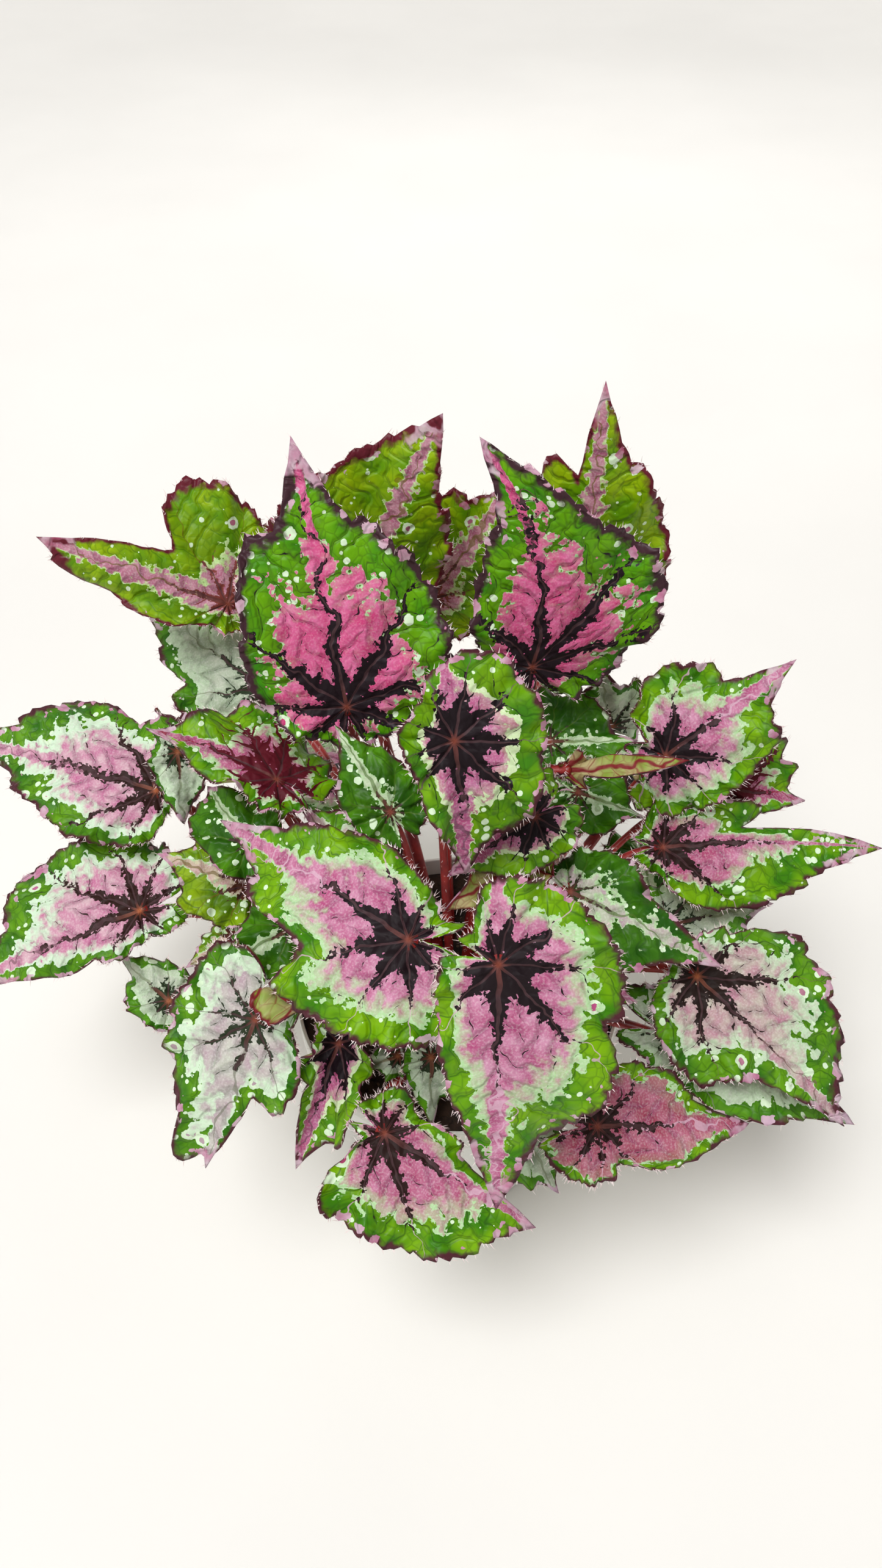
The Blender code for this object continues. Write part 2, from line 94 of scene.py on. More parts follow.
camera = {"place": (-0.00785, -0.29372, 0.59500), "tilt": 42, "lens": 26.63, "sensor": 36}


def makeCamera():
    data = bpy.data.cameras.new("photoCamera")
    data.lens = camera["lens"]
    data.sensor_width = camera["sensor"]
    thing = addThing("photoCamera", data)
    thing.location = camera["place"]
    thing.rotation_euler = (math.radians(camera["tilt"]), 0, 0)
    bpy.context.scene.camera = thing


makeCamera()
print("camera set")


# Leaves: the rows and the formulas repeat the CAD part's, in mm

usual = {
    "face": (0, -0.6, 1), "wide": 1.0, "skew": 0.0, "heel": 1.0, "notch": 180, "cleft": 0.72, "lobes": (),
    "fold": -6, "arch": 20, "bow": 0.0, "wave": 3.0, "waves": 6, "curl": None, "turn": 0,
    "lean": 0.35, "meet": (0.75, 0.55), "look": "silver",
}
form = {
    "thick": 0.8, "longFrom": 62, "neck": 2.4, "stalkTop": 2.1, "stalkBase": 3.1, "holeDepth": 14,
    "rootSpace": 9.0, "spreadRounds": 80, "crownInner": 5, "crownReach": 37, "soilTop": 121.4,
    "neckPull": 0.3, "rootPull": 0.4, "neckFlare": 1.9, "ringPower": 0.8,
}
longLeaf = {
    "spokes": 200, "rings": 26, "stalk": 1.0, "steps": 22, "sides": 10, "edgeHairs": 230, "stalkHairs": 110,
}
shortLeaf = {
    "spokes": 120, "rings": 15, "stalk": 0.68, "steps": 16, "sides": 8, "edgeHairs": 120, "stalkHairs": 55,
}

leafRows = {
    # the tall leaves behind
    "leaf_01": dict(
        hub=(-48, 61, 250), tip=(-67, 114, 345), face=(0.2, -1, 0.8), skew=0.12, heel=0.5,
        lobes=((-22, 10, 0.14), (-90, 20, -0.12)), fold=2, look="hotPink",
    ),
    "leaf_02": dict(
        hub=(32, 84, 252), tip=(7, 101, 352), face=(-0.2, -1, 0.7), skew=0.3, heel=0.6,
        lobes=((-95, 25, -0.5), (8, 5, 0.12), (32, 12, -0.08)), bow=0.12, look="hotPink",
    ),
    "leaf_03": dict(
        hub=(-51, 135, 250), tip=(-7, 140, 344), face=(0.2, -1, 0.5), skew=-0.15, lobes=((-12, 8, 0.08),),
        look="backLit",
    ),
    "leaf_04": dict(
        hub=(58, 138, 250), tip=(60, 150, 350), face=(0, -1, 0.5), wide=0.9, skew=0.1,
        lobes=((-7, 4, -0.2), (-16, 6, 0.08), (40, 20, -0.06)), turn=6, look="backLit",
    ),
    "leaf_05": dict(
        hub=(-12, 152, 236), tip=(25, 155, 300), face=(0, -1, 0.8), lobes=((-22, 14, 0.14),), look="backLit",
    ),
    # the left side
    "leaf_06": dict(
        hub=(-110, 142, 240), tip=(-199, 146, 279), face=(0, -1, 0.8), skew=0.15,
        lobes=((24, 14, -0.45), (65, 22, 0.2), (-8, 5, 0.2), (-65, 45, -0.6), (-130, 40, -0.5)), lean=0.1,
        look="backLit",
    ),
    "leaf_07": dict(
        hub=(-96, 128, 197), tip=(-163, 176, 217), face=(0, -0.8, 1), wide=1.1, skew=-0.15,
        lobes=((-33, 12, -0.25), (-90, 30, -0.35)),
    ),
    "leaf_08": dict(
        hub=(-141, 67, 190), tip=(-241, 101, 190), face=(0, -0.4, 1), wide=1.1, skew=0.06, heel=0.6,
        lobes=((-80, 45, -0.3), (-30, 12, -0.1), (-140, 25, -0.5),
               (57, 18, -0.32), (95, 20, -0.2), (150, 35, -0.7)),
        curl=(134, 0.12, 6), look="pinkSilver",
    ),
    "leaf_09": dict(
        hub=(-147, 21, 158), tip=(-233, 0, 125), face=(-0.2, -0.4, 1), wide=0.9, skew=0.3, heel=0.8,
        lobes=((45, 20, 0.15), (-30, 14, -0.3), (-80, 40, -0.4)), look="pinkSilver",
    ),
    "leaf_10": dict(
        hub=(-79, 43, 224), tip=(-141, 63, 240), face=(0, 0.1, 1), wide=1.3,
        lobes=((65, 25, 0.25), (-60, 45, -0.55), (-130, 45, -0.4)), meet=(0.95, 0.25), look="crimson",
    ),
    "leaf_11": dict(hub=(-127, 68, 215), tip=(-124, 46, 190)),
    "leaf_12": dict(
        hub=(-96, 26, 171), tip=(-137, 38, 178), face=(0, -0.5, 1), wide=1.3, heel=0.8,
        lobes=((-35, 15, 0.1),), turn=-6, look="olive",
    ),
    "leaf_13": dict(
        hub=(-92, 26, 201), tip=(-114, 57, 205), face=(0, -0.5, 1), wide=1.2, lobes=((-25, 20, 0.3),),
        look="green",
    ),
    "leaf_14": dict(
        hub=(-102, 8, 156), tip=(-123, -2, 146), face=(0, -0.5, 1), wave=2, turn=12, look="olive",
    ),
    "leaf_15": dict(hub=(-73, -4, 180), tip=(-104, -17, 165), face=(0, -0.5, 1), wide=1.2, look="green"),
    # the middle
    "leaf_16": dict(
        hub=(-20, -47, 234), tip=(-98, 13, 232), skew=-0.32, notch=150, cleft=0.85,
        lobes=((-33, 12, -0.33), (80, 30, -0.22), (115, 18, -0.4), (-100, 60, -0.14), (175, 25, -0.4)),
        look="dustyPink",
    ),
    "leaf_17": dict(
        hub=(12, -71, 254), tip=(13, -119, 158), wide=0.85, skew=-0.3, heel=0.8, notch=112,
        lobes=((35, 25, -0.2), (75, 30, -0.15), (-57, 9, -0.13), (144, 18, -0.35)), turn=5, look="dustyPink",
    ),
    "leaf_18": dict(
        hub=(-3, 2, 290), tip=(2, -18, 235), face=(0.1, -0.6, 1), wide=1.15, skew=-0.25, heel=1.45, cleft=0,
        lobes=((45, 24, -0.25), (140, 30, -0.3), (-125, 20, -0.15)), fold=8, look="darkHeart",
    ),
    "leaf_19": dict(hub=(-37, 15, 199), tip=(-70, 43, 202), wide=1.2, heel=0.6, look="silverPink"),
    "leaf_20": dict(hub=(-29, 21, 228), tip=(-52, 49, 250), meet=(0.6, 0.9), look="green"),
    "leaf_21": dict(
        hub=(30, 11, 237), tip=(-6, -9, 223), wide=1.15, heel=1.2, turn=15, meet=(1, 0.1), look="darkHeart",
    ),
    "leaf_22": dict(
        hub=(25, 3, 216), tip=(-7, -20, 216), face=(0, 0.6, -1), lobes=((-80, 50, -0.55),), turn=10,
        meet=(0.15, 1), look="green",
    ),
    # the right side
    "leaf_23": dict(
        hub=(90, 53, 228), tip=(140, 70, 268), face=(0, -0.8, 1), wide=1.15,
        lobes=((-60, 20, 0.15), (-108, 35, -0.5), (-15, 8, -0.1), (30, 15, 0.1)), curl=(-135, 0.1, 5),
        turn=5, meet=(1, 0.3), look="dustyPink",
    ),
    "leaf_24": dict(
        hub=(121, 55, 205), tip=(159, 52, 200), face=(0, -0.8, 1), wide=1.4,
        lobes=((-25, 7, 0.3), (-47, 7, 0.4), (45, 30, -0.4), (100, 30, -0.4)), look="crimson",
    ),
    "leaf_25": dict(
        hub=(90, 28, 196), tip=(193, 33, 188), wide=0.65, heel=0.4,
        lobes=((-11, 6, -0.38), (-45, 30, -0.35), (98, 25, -0.4)), bow=-0.02, meet=(0.5, 0.8),
        look="spottedRose",
    ),
    "leaf_26": dict(hub=(95, 11, 161), tip=(144, 24, 159), face=(0, -0.5, 1), lobes=((-20, 15, 0.2),)),
    "leaf_27": dict(
        hub=(90, 61, 150), tip=(96, 21, 140), face=(0.2, -0.5, 1), wide=1.2, turn=10, look="green",
    ),
    "leaf_28": dict(
        hub=(102, -22, 170), tip=(159, -72, 138), face=(0.1, -0.5, 1), wide=1.3, skew=-0.15, heel=0.4,
        lobes=((-97, 18, -0.35), (-15, 12, 0.2), (24, 14, -0.16), (88, 20, -0.12)), look="silverPink",
    ),
    "leaf_29": dict(
        hub=(96, -36, 142), tip=(175, -65, 118), face=(0.1, -0.4, 1), skew=-0.2,
        lobes=((-130, 25, -0.25), (60, 30, -0.3), (125, 30, -0.35)),
    ),
    # the front
    "leaf_30": dict(
        hub=(56, -81, 150), tip=(123, -70, 130), face=(0, -0.5, 1), wide=0.9,
        lobes=((58, 22, -0.4), (35, 12, -0.1)), look="roseWash",
    ),
    "leaf_31": dict(hub=(25, -78, 137), tip=(41, -95, 119), face=(0, -0.5, 1), wide=1.5),
    "leaf_32": dict(hub=(52, -29, 180), tip=(76, -36, 172), face=(0, -0.5, 1), look="dustyPink"),
    "leaf_33": dict(
        hub=(-31, -82, 146), tip=(46, -117, 114), skew=0.1, heel=0.5,
        lobes=((-55, 45, -0.6), (-12, 12, -0.25), (100, 12, 0.2), (138, 18, -0.5)), curl=(140, 0.2, 6),
        meet=(0.6, 0.8), look="rosePink",
    ),
    "leaf_34": dict(
        hub=(-86, -41, 166), tip=(-107, -84, 122), face=(-0.1, -0.6, 1), wide=1.3, skew=0.1, heel=1.2,
        lobes=((-95, 30, -0.45), (-18, 8, -0.25), (11, 6, 0.45)), curl=(-150, 0.12, 6), look="silverVein",
    ),
    "leaf_35": dict(hub=(-133, -11, 132), tip=(-161, 15, 128), face=(0, -0.4, 1)),
    "leaf_36": dict(
        hub=(-52, -42, 148), tip=(-71, -79, 106), wide=0.75, skew=-0.25,
        lobes=((26, 12, -0.3), (-38, 15, 0.2)), fold=50, look="darkHeart",
    ),
    "leaf_37": dict(hub=(-26, -49, 150), tip=(-40, -52, 145), wide=1.5),
    "leaf_38": dict(hub=(-12, -54, 158), tip=(-11, -71, 133)),
    # small leaves between the others
    "leaf_39": dict(
        hub=(46, -3, 205), tip=(108, -28, 187), wide=0.85, heel=0.6, lobes=((-30, 15, -0.2),), turn=-50,
        look="mintPatch",
    ),
    "leaf_40": dict(hub=(75, 105, 194), tip=(66, 106, 232), face=(0, -1, 0.7), wide=1.45),
    "leaf_41": dict(
        hub=(43, 84, 205), tip=(83, 84, 205), wide=1.6, heel=1.3, turn=-5, meet=(1, 0), look="green",
    ),
    "leaf_42": dict(
        hub=(44, 39, 234), tip=(101, 26, 256), face=(0, 0.6, -1), wide=0.12, heel=0.35,
        lobes=((-25, 18, -0.6), (25, 18, -0.6)), turn=10, meet=(0.15, 1), look="green",
    ),
    "leaf_43": dict(hub=(54, 54, 203), tip=(84, 44, 198), wide=1.4, turn=5, look="green"),
    # the back
    "leaf_44": dict(hub=(-62, 112, 150), tip=(-112, 170, 110), face=(-0.4, 0.6, 1), look="dustyPink"),
    "leaf_45": dict(hub=(22, 118, 155), tip=(32, 190, 115), face=(0, 0.7, 1)),
    "leaf_46": dict(hub=(86, 114, 148), tip=(134, 160, 110), face=(0.4, 0.6, 1), turn=-8, look="dustyPink"),
}


def ease(share):
    share = np.clip(share, 0.0, 1.0)
    return share * share * (3 - 2 * share)


def apartFrom(theta, degrees):
    return np.abs(np.angle(np.exp(1j * (theta - math.radians(degrees)))))


# The plain outline: how far it reaches from the hub, as shares of the length, and shares of the half turn
outline = {
    "waist": 0.36, "shoulder": 0.34, "shoulderWide": 0.29, "tip": 0.30, "tipWide": 0.03, "heelFrom": 0.4,
    "notchWide": 0.1,
}


def edgeReach(leaf, theta):
    part = np.abs(theta) / math.pi
    reach = outline["waist"] + outline["shoulder"] * np.exp(-((part / outline["shoulderWide"]) ** 2))
    reach = reach + outline["tip"] * np.exp(-part / outline["tipWide"])
    reach = reach * (1 + (leaf["wide"] - 1) * np.abs(np.sin(theta)) ** 1.2)
    reach = reach * (1 + leaf["skew"] * np.sin(theta))
    reach = reach * (1 + (leaf["heel"] - 1) * ease(part / outline["heelFrom"] - 1))
    for bearing, half, gain in leaf["lobes"]:
        reach = reach * (1 + gain * np.exp(-((apartFrom(theta, bearing) / math.radians(half)) ** 2)))
    notch = apartFrom(theta, leaf["notch"]) / (outline["notchWide"] * math.pi)
    return reach * (1 - leaf["cleft"] * ease(1 - notch))


def leafAxes(leaf):
    hub = np.array(leaf["hub"], float)
    along = np.array(leaf["tip"], float) - hub
    chord = np.linalg.norm(along)
    along /= chord
    face = np.array(leaf["face"], float)
    face = unit(face - along * (face @ along))
    half = math.radians(leaf["arch"]) / 2
    return hub, np.cross(along, face), along, face, chord * half / math.sin(half)


# What the scene adds to the blade's form: fine teeth, ruffles, and tissue that swells between the veins
fine = {
    "lobe": 0.060, "tooth": 0.040, "toothPitch": 5.0, "teethPerLobe": 3, "fewestLobes": 9, "girth": 3.3,
    "ruffle": 3.8, "quilt": 1.8, "veinStep": 0.72,
}


def saw(turns):
    # a tooth with a slow rise and a quick fall, from -0.5 to 0.5
    part = turns - np.floor(turns)
    return np.where(part < 0.7, part / 0.7, (1 - part) / 0.3) - 0.5


def fineTeeth(leaf, theta, length):
    teeth = length * fine["girth"] / fine["toothPitch"]
    count = max(fine["fewestLobes"], round(teeth / fine["teethPerLobe"]))
    seed = leaf["seed"]
    turns = np.abs(theta) / math.tau * count * 2 + seed
    small = saw(-turns * 1.5 + 0.2 * np.sin(5 * theta + seed))
    return fine["lobe"] * saw(-turns * 0.5) + fine["tooth"] * small


def fineLift(leaf, theta, share):
    seed = leaf["seed"]
    ruffle = 0.6 * np.sin(11 * theta + 6 * seed) + 0.4 * np.sin(19 * theta + 14 * seed)
    near = theta / fine["veinStep"]
    swell = np.abs(near - np.round(near)) * 2
    quilt = (np.sqrt(swell + 0.02) - 0.5) * np.sin(math.pi * share ** 0.8)
    return fine["ruffle"] * share ** 3.5 * ruffle + fine["quilt"] * quilt


def leafSurface(leaf, theta, share):
    hub, across, along, face, length = leafAxes(leaf)
    reach = edgeReach(leaf, theta) * length * share * (1 + fineTeeth(leaf, theta, length) * share ** 9)
    u, v = reach * np.sin(theta), reach * np.cos(theta)
    flat = np.stack([u, v], -1)
    w = leaf["wave"] * share ** 2.2 * np.sin(leaf["waves"] * theta)
    w = (w + fineLift(leaf, theta, share)) * ease(apartFrom(theta, leaf["notch"]) / 0.5 + 0.15)
    # each half folds about the midrib
    lift = math.radians(leaf["fold"]) * np.abs(u) / (np.abs(u) + 0.06 * length)
    u, w = u * np.cos(lift) - w * np.sin(lift) * np.sign(u), w * np.cos(lift) + np.abs(u) * np.sin(lift)
    # one edge may fold over
    if leaf["curl"]:
        bearing, start, radius = leaf["curl"]
        cx, cy = math.sin(math.radians(bearing)), math.cos(math.radians(bearing))
        beyond = u * cx + v * cy - start * length
        angle = np.clip(beyond / radius, 0, math.pi)
        flap = np.clip(beyond - math.pi * radius, 0, None)
        shift = np.where(beyond > 0, (radius - w) * np.sin(angle) - flap - beyond, 0.0)
        w = np.where(beyond > 0, radius - (radius - w) * np.cos(angle), w)
        u, v = u + cx * shift, v + cy * shift
    # the midrib swings to one side, then arches
    part = np.clip(v / length, 0, 1)
    u = u + leaf["bow"] * length * 4 * (part - part * part)
    bend = math.radians(leaf["arch"])
    turn = bend * v / length
    ahead = length / bend * np.sin(turn) + w * np.sin(turn)
    above = length / bend * (np.cos(turn) - 1) + w * np.cos(turn)
    half = bend / 2
    v = ahead * math.cos(half) - above * math.sin(half)
    w = ahead * math.sin(half) + above * math.cos(half)
    return hub + u[..., None] * across + v[..., None] * along + w[..., None] * face, flat


def stalkLine(leaf):
    hub, across, along, face, length = leafAxes(leaf)
    neck = hub - face * form["neck"]
    root = leaf["root"]
    reach = np.linalg.norm(neck - root)
    out = (neck - root) * (1, 1, 0)
    rise = unit(np.array([0, 0, 1.0]) + leaf["lean"] * out / max(np.linalg.norm(out), 1.0))
    last = unit(face * leaf["meet"][0] + along * leaf["meet"][1])
    a, b = neck - last * reach * form["neckPull"], root + rise * reach * form["rootPull"]
    t = np.linspace(0, 1, leaf["build"]["steps"])[:, None]
    line = (1 - t) ** 3 * neck + 3 * (1 - t) ** 2 * t * a + 3 * (1 - t) * t * t * b + t ** 3 * root
    return np.vstack([hub - face * 0.5, line, root - np.array([0, 0, form["holeDepth"]])])


def crownRoot(leaf):
    x, y, z = leaf["hub"]
    steep = math.atan2(z - form["soilTop"], math.hypot(x, y)) / (math.pi / 2)
    bearing = math.atan2(y, x) + math.radians(leaf["turn"])
    radius = form["crownInner"] + form["crownReach"] * (1 - steep)
    return np.array([radius * math.cos(bearing), radius * math.sin(bearing), form["soilTop"]])


def spreadRoots(leaves):
    for leaf in leaves:
        leaf["root"] = crownRoot(leaf)
    pairs = [(a, b) for i, a in enumerate(leaves) for b in leaves[:i]]
    for _ in range(form["spreadRounds"]):
        for a, b in pairs:
            apart = a["root"] - b["root"]
            distance = np.linalg.norm(apart)
            if distance < form["rootSpace"]:
                push = apart / distance * (form["rootSpace"] - distance) / 2
                a["root"] = a["root"] + push
                b["root"] = b["root"] - push


def gridOf(bm, across, up):
    # a grid with its corners in order: up is the slow count, across the quick one
    made = bmesh.ops.create_grid(bm, x_segments=across, y_segments=up, size=1)
    return sorted(made["verts"], key=lambda v: (round(v.co.y, 5), v.co.x))


def makeBlade(leaf, finishes):
    build = leaf["build"]
    spokes, rings = build["spokes"], build["rings"]
    bm = bmesh.new()
    corners = gridOf(bm, spokes, rings)
    theta = np.tile(np.linspace(-math.pi, math.pi, spokes + 1), rings + 1)
    share = np.repeat(np.linspace(0, 1, rings + 1) ** form["ringPower"], spokes + 1)
    places, flat = leafSurface(leaf, theta, share)
    for v, place in zip(corners, places):
        v.co = place * mm
    bm.verts.index_update()
    order = {v.index: i for i, v in enumerate(corners)}
    flatMap, partMap = bm.loops.layers.uv.new("flat"), bm.loops.layers.uv.new("part")
    flatUv, seed = flat * perMm, leaf["seed"]
    for f in bm.faces:
        f.smooth = True
        for loop in f.loops:
            i = order[loop.vert.index]
            loop[flatMap].uv = flatUv[i]
            loop[partMap].uv = (share[i], seed)
    weld(bm, bm.verts)
    thing = addThing("blade", meshOf(bm, "blade", finishes))
    wall = thing.modifiers.new("thickness", "SOLIDIFY")
    wall.thickness = form["thick"] * mm
    wall.offset = -1
    wall.use_even_offset = False
    wall.material_offset = 1
    wall.material_offset_rim = 0
    solid = appliedMesh(thing)
    bpy.data.objects.remove(thing, do_unlink=True)
    return solid


def stalkFrames(leaf):
    hub, side, along, way, length = leafAxes(leaf)
    line = stalkLine(leaf)
    last = len(line) - 1
    radii = leaf["build"]["stalk"] * np.linspace(form["stalkTop"], form["stalkBase"], last - 1)
    radii = np.array([radii[0] * form["neckFlare"], *radii, radii[-1]])
    frames = []
    for i, middle in enumerate(line):
        if i > 1:
            way = line[i - 1] - line[min(i + 1, last)]
        way = unit(way)
        side = unit(side - way * (side @ way))
        frames.append((middle, side, np.cross(way, side), radii[i]))
    return frames


def addStalk(bm, leaf, slot):
    frames = stalkFrames(leaf)
    sides = leaf["build"]["sides"]
    corners = gridOf(bm, sides, len(frames) - 1)
    bearings = np.linspace(-math.pi, math.pi, sides + 1)
    for v, (ring, bearing) in zip(corners, [(f, b) for f in frames for b in bearings]):
        middle, side, other, radius = ring
        v.co = (middle + radius * (math.sin(bearing) * side + math.cos(bearing) * other)) * mm
    mine = {f for v in corners for f in v.link_faces}
    for f in mine:
        f.smooth = True
        f.material_index = slot
    weld(bm, corners)
    edges = {e for f in mine if f.is_valid for e in f.edges if e.is_boundary}
    ends = bmesh.ops.holes_fill(bm, edges=list(edges), sides=0)
    for f in ends["faces"]:
        f.material_index = slot
    bmesh.ops.recalc_face_normals(bm, faces=[f for f in bm.faces if f.material_index == slot])


# Hairs: lengths and widths in mm, how far they stray, and how much they crowd near the blade
hair = {
    "thick": 0.2, "tip": 0.02, "sunk": 0.05, "edge": (1.2, 3.0), "stalk": (1.2, 2.4), "stray": 0.45,
    "crowd": 1.5,
}


def addHair(bm, place, way, length, slot):
    turn = Vector((0, 0, 1)).rotation_difference(Vector(way)).to_matrix().to_4x4()
    middle = Matrix.Translation(Vector((place + way * length * (0.5 - hair["sunk"])) * mm))
    made = bmesh.ops.create_cone(
        bm, segments=3, radius1=hair["thick"] * mm, radius2=hair["tip"] * mm, depth=length * mm,
        matrix=middle @ turn,
    )
    for f in {f for v in made["verts"] for f in v.link_faces}:
        f.material_index = slot


def makeHairs(leaf, slot):
    bm = bmesh.new()
    dice = random.Random(leaf["number"])
    build = leaf["build"]
    thetas = np.array([dice.uniform(-3.1, 3.1) for _ in range(build["edgeHairs"])])
    edge, _ = leafSurface(leaf, thetas, np.ones(len(thetas)))
    inner, _ = leafSurface(leaf, thetas, np.full(len(thetas), 0.93))
    for at, before in zip(edge, inner):
        way = unit(at - before) + np.array([dice.gauss(0, hair["stray"]) for _ in range(3)])
        addHair(bm, at, unit(way), dice.uniform(*hair["edge"]), slot)
    frames = stalkFrames(leaf)[1:-1]
    for _ in range(build["stalkHairs"]):
        step = min(int(dice.random() ** hair["crowd"] * len(frames)), len(frames) - 1)
        middle, side, other, radius = frames[step]
        bearing = dice.uniform(0, math.tau)
        out = math.sin(bearing) * side + math.cos(bearing) * other
        addHair(bm, middle + out * radius * 0.9, out, dice.uniform(*hair["stalk"]), slot)
    return meshOf(bm, "hairs")


def makeLeaf(name, leaf, finishes):
    blade = makeBlade(leaf, finishes)
    hairs = makeHairs(leaf, finishes.index(hairSkin))
    bm = bmesh.new()
    addStalk(bm, leaf, finishes.index(stalkSkin))
    bm.from_mesh(blade)
    bm.from_mesh(hairs)
    thing = addThing(name + "_grown", meshOf(bm, name + "_grown", finishes))
    for scrap in (blade, hairs):
        bpy.data.meshes.remove(scrap)
    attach(thing, "root")
    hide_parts(name)


# Leaf looks: what each kind of leaf shows, from the hub out. Reaches and widths named ...Reach, rimWidth and
# marginWidth are shares of the way from the hub to the edge; starWidth, stripe and spotSize are in mm

usualLook = {
    "star": "#170A10", "starReach": 0.72, "starWidth": 6.8, "feather": 0.03,
    "inner": "#A64674", "innerLight": "#C68CA8", "innerPaintedShade": "#8A3660", "innerReach": 0.71, "stripe": 3.2,
    "rim": "#A8CC96", "rimWidth": 0.05, "rimSoft": 0.8, "ragged": 0.12,
    "outer": "#387800", "outerLight": "#72A400", "outerShade": "#224C04",
    "spot": "#CFE4C4", "spotAmount": 0.50, "spotSize": 1.2, "blotchAmount": 0.10,
    "margin": "#4C222B", "marginWidth": 0.03, "patch": "#B4708F", "patchAmount": 0.45,
    "vein": "#CCA8BA", "hub": "#84402F", "grain": 0.20,
}
silvery = dict(
    innerReach=0.72, rimSoft=0.9, outer="#2C680A", outerLight="#5C920C", spotAmount=0.6, spotSize=1.8,
    blotchAmount=0.3, hub="#B4643C", patchAmount=0.6,
)
leafLooks = {
    "hotPink": dict(
        star="#190C14", starReach=1.25, starWidth=5.0, feather=0.02, inner="#C03A72", innerLight="#D46C9C",
        innerPaintedShade="#A02C5C", innerReach=0.68, stripe=2.4, rimWidth=0.01, rimSoft=0.15, ragged=0.30,
        outer="#337C00", outerLight="#629E00", outerShade="#2C3A08", spotAmount=0.55, spotSize=1.8,
        blotchAmount=0.45, margin="#3C222A", marginWidth=0.06, grain=0.12, vein="#7A3452",
    ),
    # painted light: this look is lighter and more lime all over, standing in for the light that shines
    # through the back leaves; the pattern itself is their own
    "backLit": dict(
        star="#7A3A34", starReach=0.5, starWidth=2.5, feather=0.1, inner="#A8627C", innerLight="#C694A2",
        innerReach=0.36, rim="#B4D48C", rimWidth=0.06, ragged=0.2, outer="#5C8E00", outerLight="#8CAC06",
        outerShade="#3C6A00", margin="#5E1826", patch="#A04A68", patchAmount=0.35, marginWidth=0.05,
        vein="#6A5A14", spotAmount=0.45, blotchAmount=0.2,
    ),
    "dustyPink": dict(),
    "rosePink": dict(
        inner="#9C3A62", innerLight="#BC7A98", star="#24100E", starReach=0.8, starWidth=4.8, feather=0.06,
        innerReach=0.70, stripe=2.2, rimWidth=0.03, rimSoft=0.5, blotchAmount=0.2,
    ),
    "pinkSilver": dict(
        silvery, inner="#B4608A", innerLight="#CCACB4", innerPaintedShade="#8C4C6C", star="#2A1410", starReach=0.9,
        starWidth=4.2, feather=0.07, rim="#C4DCC0", ragged=0.16, vein="#6A4450",
    ),
    "silverVein": dict(
        silvery, inner="#A8929A", innerLight="#BCC0B2", innerPaintedShade="#80807A", star="#26301E", starReach=0.6,
        starWidth=3.0, feather=0.12, rim="#C2DABC", ragged=0.2, spotAmount=0.7, spotSize=2.0,
        blotchAmount=0.4, hub="#8A4430", vein="#6E7060",
    ),
    "silverPink": dict(
        silvery, inner="#AC7488", innerLight="#B8B6A4", innerPaintedShade="#86686E", innerReach=0.70, rimSoft=0.8,
        star="#20120E", starReach=0.8, starWidth=5.2, feather=0.08, rim="#B6CEAC", ragged=0.18,
        blotchAmount=0.35, vein="#6A5048",
    ),
    "silver": dict(
        inner="#94A68A", innerLight="#B8C0AE", innerPaintedShade="#70806A", innerReach=0.74, rim="#B8CEAE",
        star="#22301A", starReach=0.6, starWidth=4.5, feather=0.3, outer="#2A660C", outerLight="#548E10",
        spotAmount=0.6, spotSize=1.8, blotchAmount=0.3, patch="#BE94B0", ragged=0.18, vein="#7A8468",
        hub="#A4603C",
    ),
    "green": dict(
        inner="#A4BC92", innerLight="#C2D2B0", innerPaintedShade="#86A070", innerReach=0.14, stripe=1.4,
        rimWidth=0.02, star="#24380C", starReach=0.4, starWidth=2.0, outer="#255A08", outerLight="#4A820A",
        spotAmount=0.6, spotSize=1.8, blotchAmount=0.2, vein="#4A6A20",
    ),
    "olive": dict(
        inner="#B88A90", innerLight="#C8C8A0", innerPaintedShade="#8C7A60", innerReach=0.25, stripe=2.5,
        rimWidth=0.04, star="#4A2414", starReach=0.5, starWidth=3.0, outer="#5A8408", outerLight="#84A412",
        outerShade="#3A5A08", spotAmount=0.6, spotSize=2.0, blotchAmount=0.35, vein="#6A5A20",
    ),
    "mintPatch": dict(
        inner="#A88C98", innerLight="#B8CCA8", innerPaintedShade="#7E8C70", innerReach=0.42, stripe=2.0,
        star="#24380C", starReach=0.4, starWidth=2.0, outer="#1E5008", outerLight="#3E7408", ragged=0.42,
        spotAmount=0.6, blotchAmount=0.3, vein="#4A6A20",
    ),
    "darkHeart": dict(
        star="#150910", starReach=0.8, starWidth=8.0, feather=0.12, inner="#A03E6C", innerLight="#C078A0",
        innerReach=0.58, rim="#C4D8A8", rimWidth=0.09, rimSoft=0.3, outer="#3C7A0C", outerLight="#6E9E04",
        spotSize=1.6, vein="#6A4458",
    ),
    "crimson": dict(
        star="#54081A", starReach=0.9, starWidth=9.0, feather=0.3, inner="#983662", innerLight="#BA7290",
        innerReach=0.64, vein="#8A1428", ragged=0.2,
    ),
}
leafLooks["spottedRose"] = dict(
    leafLooks["rosePink"], stripe=0.7, innerReach=0.62, spotAmount=0.8, spotSize=2.0, blotchAmount=0.3,
)
leafLooks["roseWash"] = dict(
    leafLooks["rosePink"], inner="#96364E", innerLight="#B66C84", starWidth=3.2, innerReach=0.84,
    stripe=4.0, rimSoft=0.15,
)
# What all the looks share. Scales count per 100 mm
scales = {
    "cloud": 7.0, "crumb": 28.0, "cell": 70.0, "net": 20.0, "dot": 24.0, "blotch": 9.0, "milk": 11.0,
    "sparkle": 110.0, "tooth": 15.0, "sideVein": 10.0,
}
